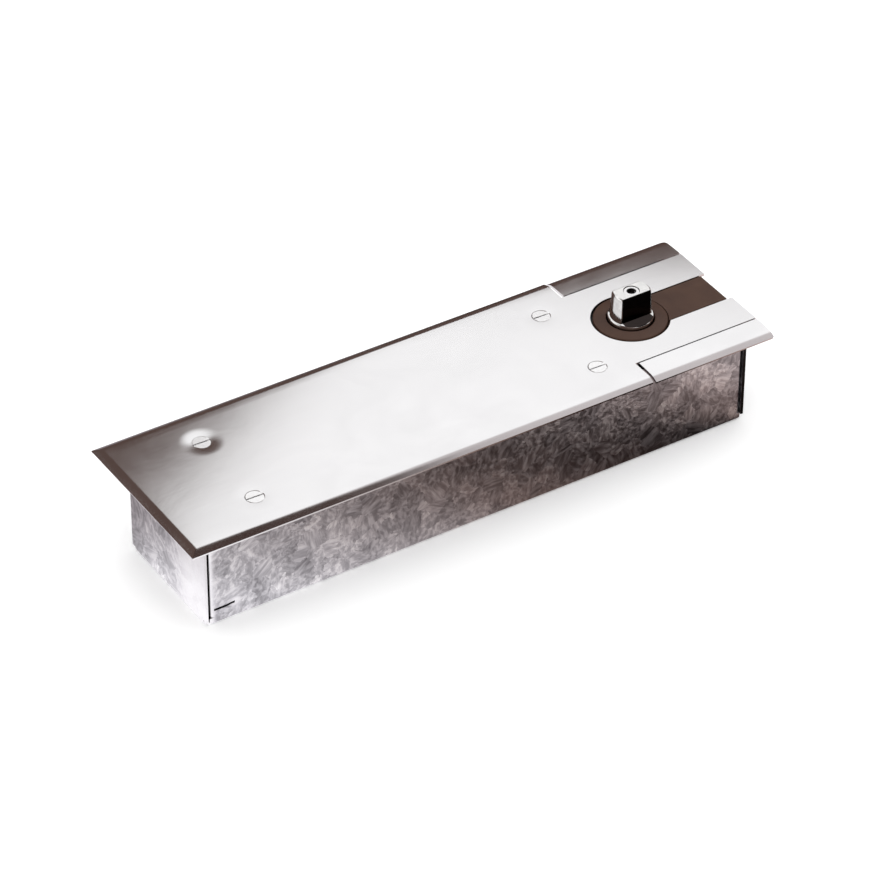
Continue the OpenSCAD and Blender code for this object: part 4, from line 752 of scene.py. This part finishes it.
# the milled flats and their ledges, 5.6 mm off centre at the foot and 5.1 mm at the top, are
# painted near-black as a painted reflection: the flats mirror the black flag, the ledges the flats
spot = add(tree, "ShaderNodeSeparateXYZ", {"Vector": place}).outputs
flat = add(tree, "ShaderNodeMapRange", {
    "Value": spot["Z"], "From Min": 0.0655, "From Max": 0.082, "To Min": 0.0056,
    "To Max": 0.0051})
beside = add(tree, "ShaderNodeMath", (spot["Y"],), operation="ABSOLUTE")
beside = add(tree, "ShaderNodeMath", (beside, flat), operation="SUBTRACT")
beside = add(tree, "ShaderNodeMapRange", {
    "Value": beside, "From Min": -0.0002, "From Max": -0.0001})
cutter = add(tree, "ShaderNodeMath", (spot["X"],), operation="ABSOLUTE")
cutter = add(tree, "ShaderNodeMapRange", {"Value": cutter, "From Min": 0.0092, "From Max": 0.009})
foot = add(tree, "ShaderNodeMapRange", {
    "Value": spot["Z"], "From Min": 0.0664, "From Max": 0.06645})
# the painted reflection covers the flats and ledges within the cutter's reach and above the foot
milled = add(tree, "ShaderNodeMath", (beside, cutter), operation="MULTIPLY")
milled = add(tree, "ShaderNodeMath", (milled, foot), operation="MULTIPLY")
skin = add(tree, "ShaderNodeMix", {0: milled, 6: tint, 7: linear("#241C1A")}, data_type="RGBA")
# painted shade darkens the bore round the bolt's head, 4.5 mm in radius
squared = add(tree, "ShaderNodeMath", (spot["Y"], spot["Y"]), operation="MULTIPLY")
squared = add(tree, "ShaderNodeMath", (spot["X"], spot["X"], squared), operation="MULTIPLY_ADD")
off_axis = add(tree, "ShaderNodeMath", (squared,), operation="SQRT")
bore = add(tree, "ShaderNodeMapRange", {"Value": off_axis, "From Min": 0.0047, "From Max": 0.0046})
inside = add(tree, "ShaderNodeMapRange", {
    "Value": spot["Z"], "From Min": 0.0819, "From Max": 0.0818})
painted_bore_shade = add(tree, "ShaderNodeMath", (bore, inside), operation="MULTIPLY")
skin = add(tree, "ShaderNodeMix", {0: painted_bore_shade, 6: skin.outputs[2], 7: linear("#100D0C")},
           data_type="RGBA")
dull = add(tree, "ShaderNodeMapRange", {"Value": wear, "To Min": 0.08, "To Max": 0.2})
feed(shader, {"Base Color": skin.outputs[2], "Roughness": dull})
upright = with_broken_edges("spindle", "milled_spindle", "spindle", chromed,
                            width=0.0002)
# the satin plate shows no reflection of them
upright.visible_glossy = bolt.visible_glossy = False

# ---------------------------------------------------------------- Spindle cover and slot insert
# Both are moulded in dark-brown nylon: a low dome round the spindle, and an insert that fills
# the plate's slot. The mould was spark-eroded, which leaves a fine even grain.
moulded, tree, shader, place = surface("moulded_brown_nylon", Roughness=0.4,
                                       Specular_IOR_Level=0.2)
eroded = add(tree, "ShaderNodeTexNoise", {
    "Vector": place, "Scale": 2200.0, "Detail": 3.0, "Roughness": 0.6})
flow = add(tree, "ShaderNodeTexNoise", {"Vector": place, "Scale": 60.0, "Detail": 3.0})
tint = add(tree, "ShaderNodeValToRGB", {"Fac": flow}, stops=((0.3, "#432F27"), (0.7, "#4E382D")))
relief = add(tree, "ShaderNodeBump", {"Height": eroded, "Strength": 0.25, "Distance": 0.0001})
feed(shader, {"Base Color": tint, "Normal": relief})
with_broken_edges("spindle_cover", "domed_spindle_cover", "root", moulded,
                  width=0.0002)
with_broken_edges("slot_insert", "moulded_slot_insert", "root", moulded,
                  width=0.00015)

# ---------------------------------------------------------------- Floor, light and camera
# A plain white table under soft studio light. The metal mirrors a dark brown room, cards
# round the closer, a black flag and the table's own glow; only the metal sees all these.
bpy.context.scene.view_settings.view_transform = "Standard"


def only_mirrored(tree, seen, mirrored, out):
    """The shader seen in all light, but the other one where metal mirrors it."""
    path = add(tree, "ShaderNodeLightPath")
    mix = add(tree, "ShaderNodeMixShader", {
        "Fac": path.outputs["Is Glossy Ray"], 1: seen, 2: mirrored})
    feed(tree.nodes[out], {"Surface": mix})


white, tree, shader, place = surface("white_table", Roughness=0.9, Specular_IOR_Level=0.1,
                                     Emission_Strength=0.2)
feed(shader, {"Base Color": linear("#F6F6F6"), "Emission Color": linear("#FFFFFF")})
spot = add(tree, "ShaderNodeSeparateXYZ", {"Vector": place}).outputs
across = add(tree, "ShaderNodeMath", (spot["X"], spot["Y"]), operation="SUBTRACT")
reach = add(tree, "ShaderNodeMapRange", {"Value": across, "From Min": -0.5, "From Max": 0.18})
lit = add(tree, "ShaderNodeValToRGB", {"Fac": reach}, stops=(
    (0.0, "#8A8486"), (0.07, "#9A9496"), (0.17, "#948C8E"), (0.275, "#E0DEE0"),
    (0.36, "#E7E5E7"), (0.43, "#D8D6D8"), (0.56, "#A49C9B"), (0.66, "#6E5C56"),
    (0.75, "#2C1913"), (0.84, "#100402"), (0.91, "#84706A"), (1.0, "#C6B9B6")))
# behind the strips the table is dark
right_of = add(tree, "ShaderNodeMapRange", {"Value": spot["X"], "From Max": 0.12})
behind = add(tree, "ShaderNodeMapRange", {"Value": spot["Y"], "From Min": 0.2, "From Max": 0.35})
beyond = add(tree, "ShaderNodeMath", (right_of, behind), operation="MULTIPLY")
lit = add(tree, "ShaderNodeMix", {0: beyond, 6: lit, 7: linear("#3A2C28")}, data_type="RGBA")
glow = add(tree, "ShaderNodeEmission", {"Strength": 1.6, "Color": lit.outputs[2]})
only_mirrored(tree, shader, glow, "Material Output")
just_under = cad_box[0][2] - 0.0002
bpy.ops.mesh.primitive_plane_add(size=12, location=(0, 0, just_under))
table = bpy.context.object
table.name = "table"
table.data.materials.append(white)

world = bpy.data.worlds.new("studio")
bpy.context.scene.world = world
world.use_nodes = True
tree = world.node_tree
bright = tree.nodes["Background"]
feed(bright, {"Color": linear("#FFFFFF"), "Strength": 1.0})
room = add(tree, "ShaderNodeBackground", {"Color": linear("#5C4B46"), "Strength": 1.0})
only_mirrored(tree, bright, room, "World Output")


def glowing(name, strength):
    """A material that only gives light: the material, its tree and its emission."""
    made = bpy.data.materials.new(name)
    made.use_nodes = True
    tree = made.node_tree
    tree.nodes.clear()
    glow = add(tree, "ShaderNodeEmission", {"Color": linear("#FFFFFF"), "Strength": strength})
    add(tree, "ShaderNodeOutputMaterial", {"Surface": glow})
    return made, tree, glow


def mirrored_card(name, finish, at, towards, left, low, right, high):
    """A card about the point at, facing towards, which only metal mirrors."""
    sheet = bpy.data.meshes.new(name)
    sheet.from_pydata([(left, low, 0), (right, low, 0), (right, high, 0), (left, high, 0)], [],
                      [(0, 1, 2, 3)])
    sheet.materials.append(finish)
    held = bpy.data.objects.new(name, sheet)
    bpy.context.scene.collection.objects.link(held)
    normal = (Vector(towards) - Vector(at)).normalized()
    side = Vector((0, 0, 1)).cross(normal).normalized()
    stand = Matrix((side, normal.cross(side), normal)).transposed().to_4x4()
    stand.translation = at
    held.matrix_world = stand
    for sort in ("camera", "diffuse", "shadow", "transmission", "volume_scatter"):
        setattr(held, "visible_" + sort, False)


plate_middle, spindle_foot = (-0.12, 0.0, 0.0635), (0, 0, 0.07)
# the card behind: its left side fades along an edge that slants one way low down, and the
# other way above the bend
faded, tree, glow = glowing("faded_card", 1.175)
place = add(tree, "ShaderNodeTexCoord").outputs["Object"]
spot = add(tree, "ShaderNodeSeparateXYZ", {"Vector": place}).outputs
bend = 0.15
over = add(tree, "ShaderNodeMath", (spot["Y"], bend), operation="SUBTRACT")
over = add(tree, "ShaderNodeMath", (over, 0.0), operation="MAXIMUM")
under = add(tree, "ShaderNodeMath", (spot["Y"], bend), operation="MINIMUM")
inside = add(tree, "ShaderNodeMath", (over, -1.2, spot["X"]), operation="MULTIPLY_ADD")
inside = add(tree, "ShaderNodeMath", (under, 0.8, inside), operation="MULTIPLY_ADD")
fade = add(tree, "ShaderNodeMapRange", {
    "Value": inside, "From Min": -0.17, "From Max": -0.1}, interpolation_type="SMOOTHSTEP")
fade = add(tree, "ShaderNodeValToRGB", {"Fac": fade}, stops=((0.0, "#564641"), (1.0, "#FFFFFF")))
# its upper part, which only the rolled edge mirrors, is greyer
upper = add(tree, "ShaderNodeMapRange", {
    "Value": spot["Y"], "From Min": 0.28, "From Max": 0.45},
    interpolation_type="SMOOTHSTEP")
upper = add(tree, "ShaderNodeValToRGB", {"Fac": upper}, stops=((0.0, "#FFFFFF"), (1.0, "#C8C2C2")))
both = add(tree, "ShaderNodeMix", {0: 1.0, 6: fade, 7: upper}, data_type="RGBA",
           blend_type="MULTIPLY")
feed(glow, {"Color": both.outputs[2]})
mirrored_card("back_card", faded, (0.222, 0.537, 0.545), plate_middle,
              left=-0.31, low=-0.098, right=0.9, high=0.9)
# a card to the left: the spindle's round end mirrors it by way of the plate
mirrored_card("left_card", glowing("plain_card", 1.3)[0], (-1.965, 1.325, 1.85), spindle_foot,
              left=-2.6, low=-0.5, right=1.15, high=0.45)
# one overhead and one in front, which are mirrored when the closer is seen from above or behind
soft = glowing("soft_card", 0.8)[0]
mirrored_card("top_card", soft, (-0.3, -0.3, 3.0), plate_middle,
              left=-0.6, low=-0.6, right=0.6, high=0.6)
mirrored_card("front_card", soft, (0.2, -3.0, 1.4), plate_middle,
              left=-5.0, low=-1.3, right=5.0, high=1.3)
# a black flag to the right, which the spindle's flat mirrors
mirrored_card("right_flag", glowing("black_flag", 0.012)[0], (0.62, -0.97, 0.95), spindle_foot,
              left=-0.5, low=-0.28, right=0.5, high=0.5)

# a soft lamp overhead, which lights dull surfaces and isn't mirrored
light = bpy.data.lights.new("overhead", "AREA")
light.shape, light.size, light.size_y, light.energy = "RECTANGLE", 2.0, 2.0, 14
held = bpy.data.objects.new("overhead", light)
bpy.context.scene.collection.objects.link(held)
held.location = (-0.4, -0.3, 2.2)
held.rotation_euler = (Vector(plate_middle) - held.location).to_track_quat("-Z", "Y").to_euler()
held.visible_glossy = False

eye, view_line = (-1.1563, -1.6245, 1.4950), (0.4273, 0.6714, -0.6056)
forward = Vector(view_line).normalized()
right = forward.cross(Vector((0, 0, 1))).normalized()
up = right.cross(forward)
tilt = math.radians(0.238)
right, up = (right * math.cos(tilt) + up * math.sin(tilt),
             up * math.cos(tilt) - right * math.sin(tilt))
lens = bpy.data.cameras.new("camera")
lens.lens, lens.sensor_width, lens.clip_end = 184.4, 36.0, 50.0
camera = bpy.data.objects.new("camera", lens)
bpy.context.scene.collection.objects.link(camera)
stand = Matrix((right, up, -forward)).transposed().to_4x4()
stand.translation = eye
camera.matrix_world = stand
bpy.context.scene.camera = camera
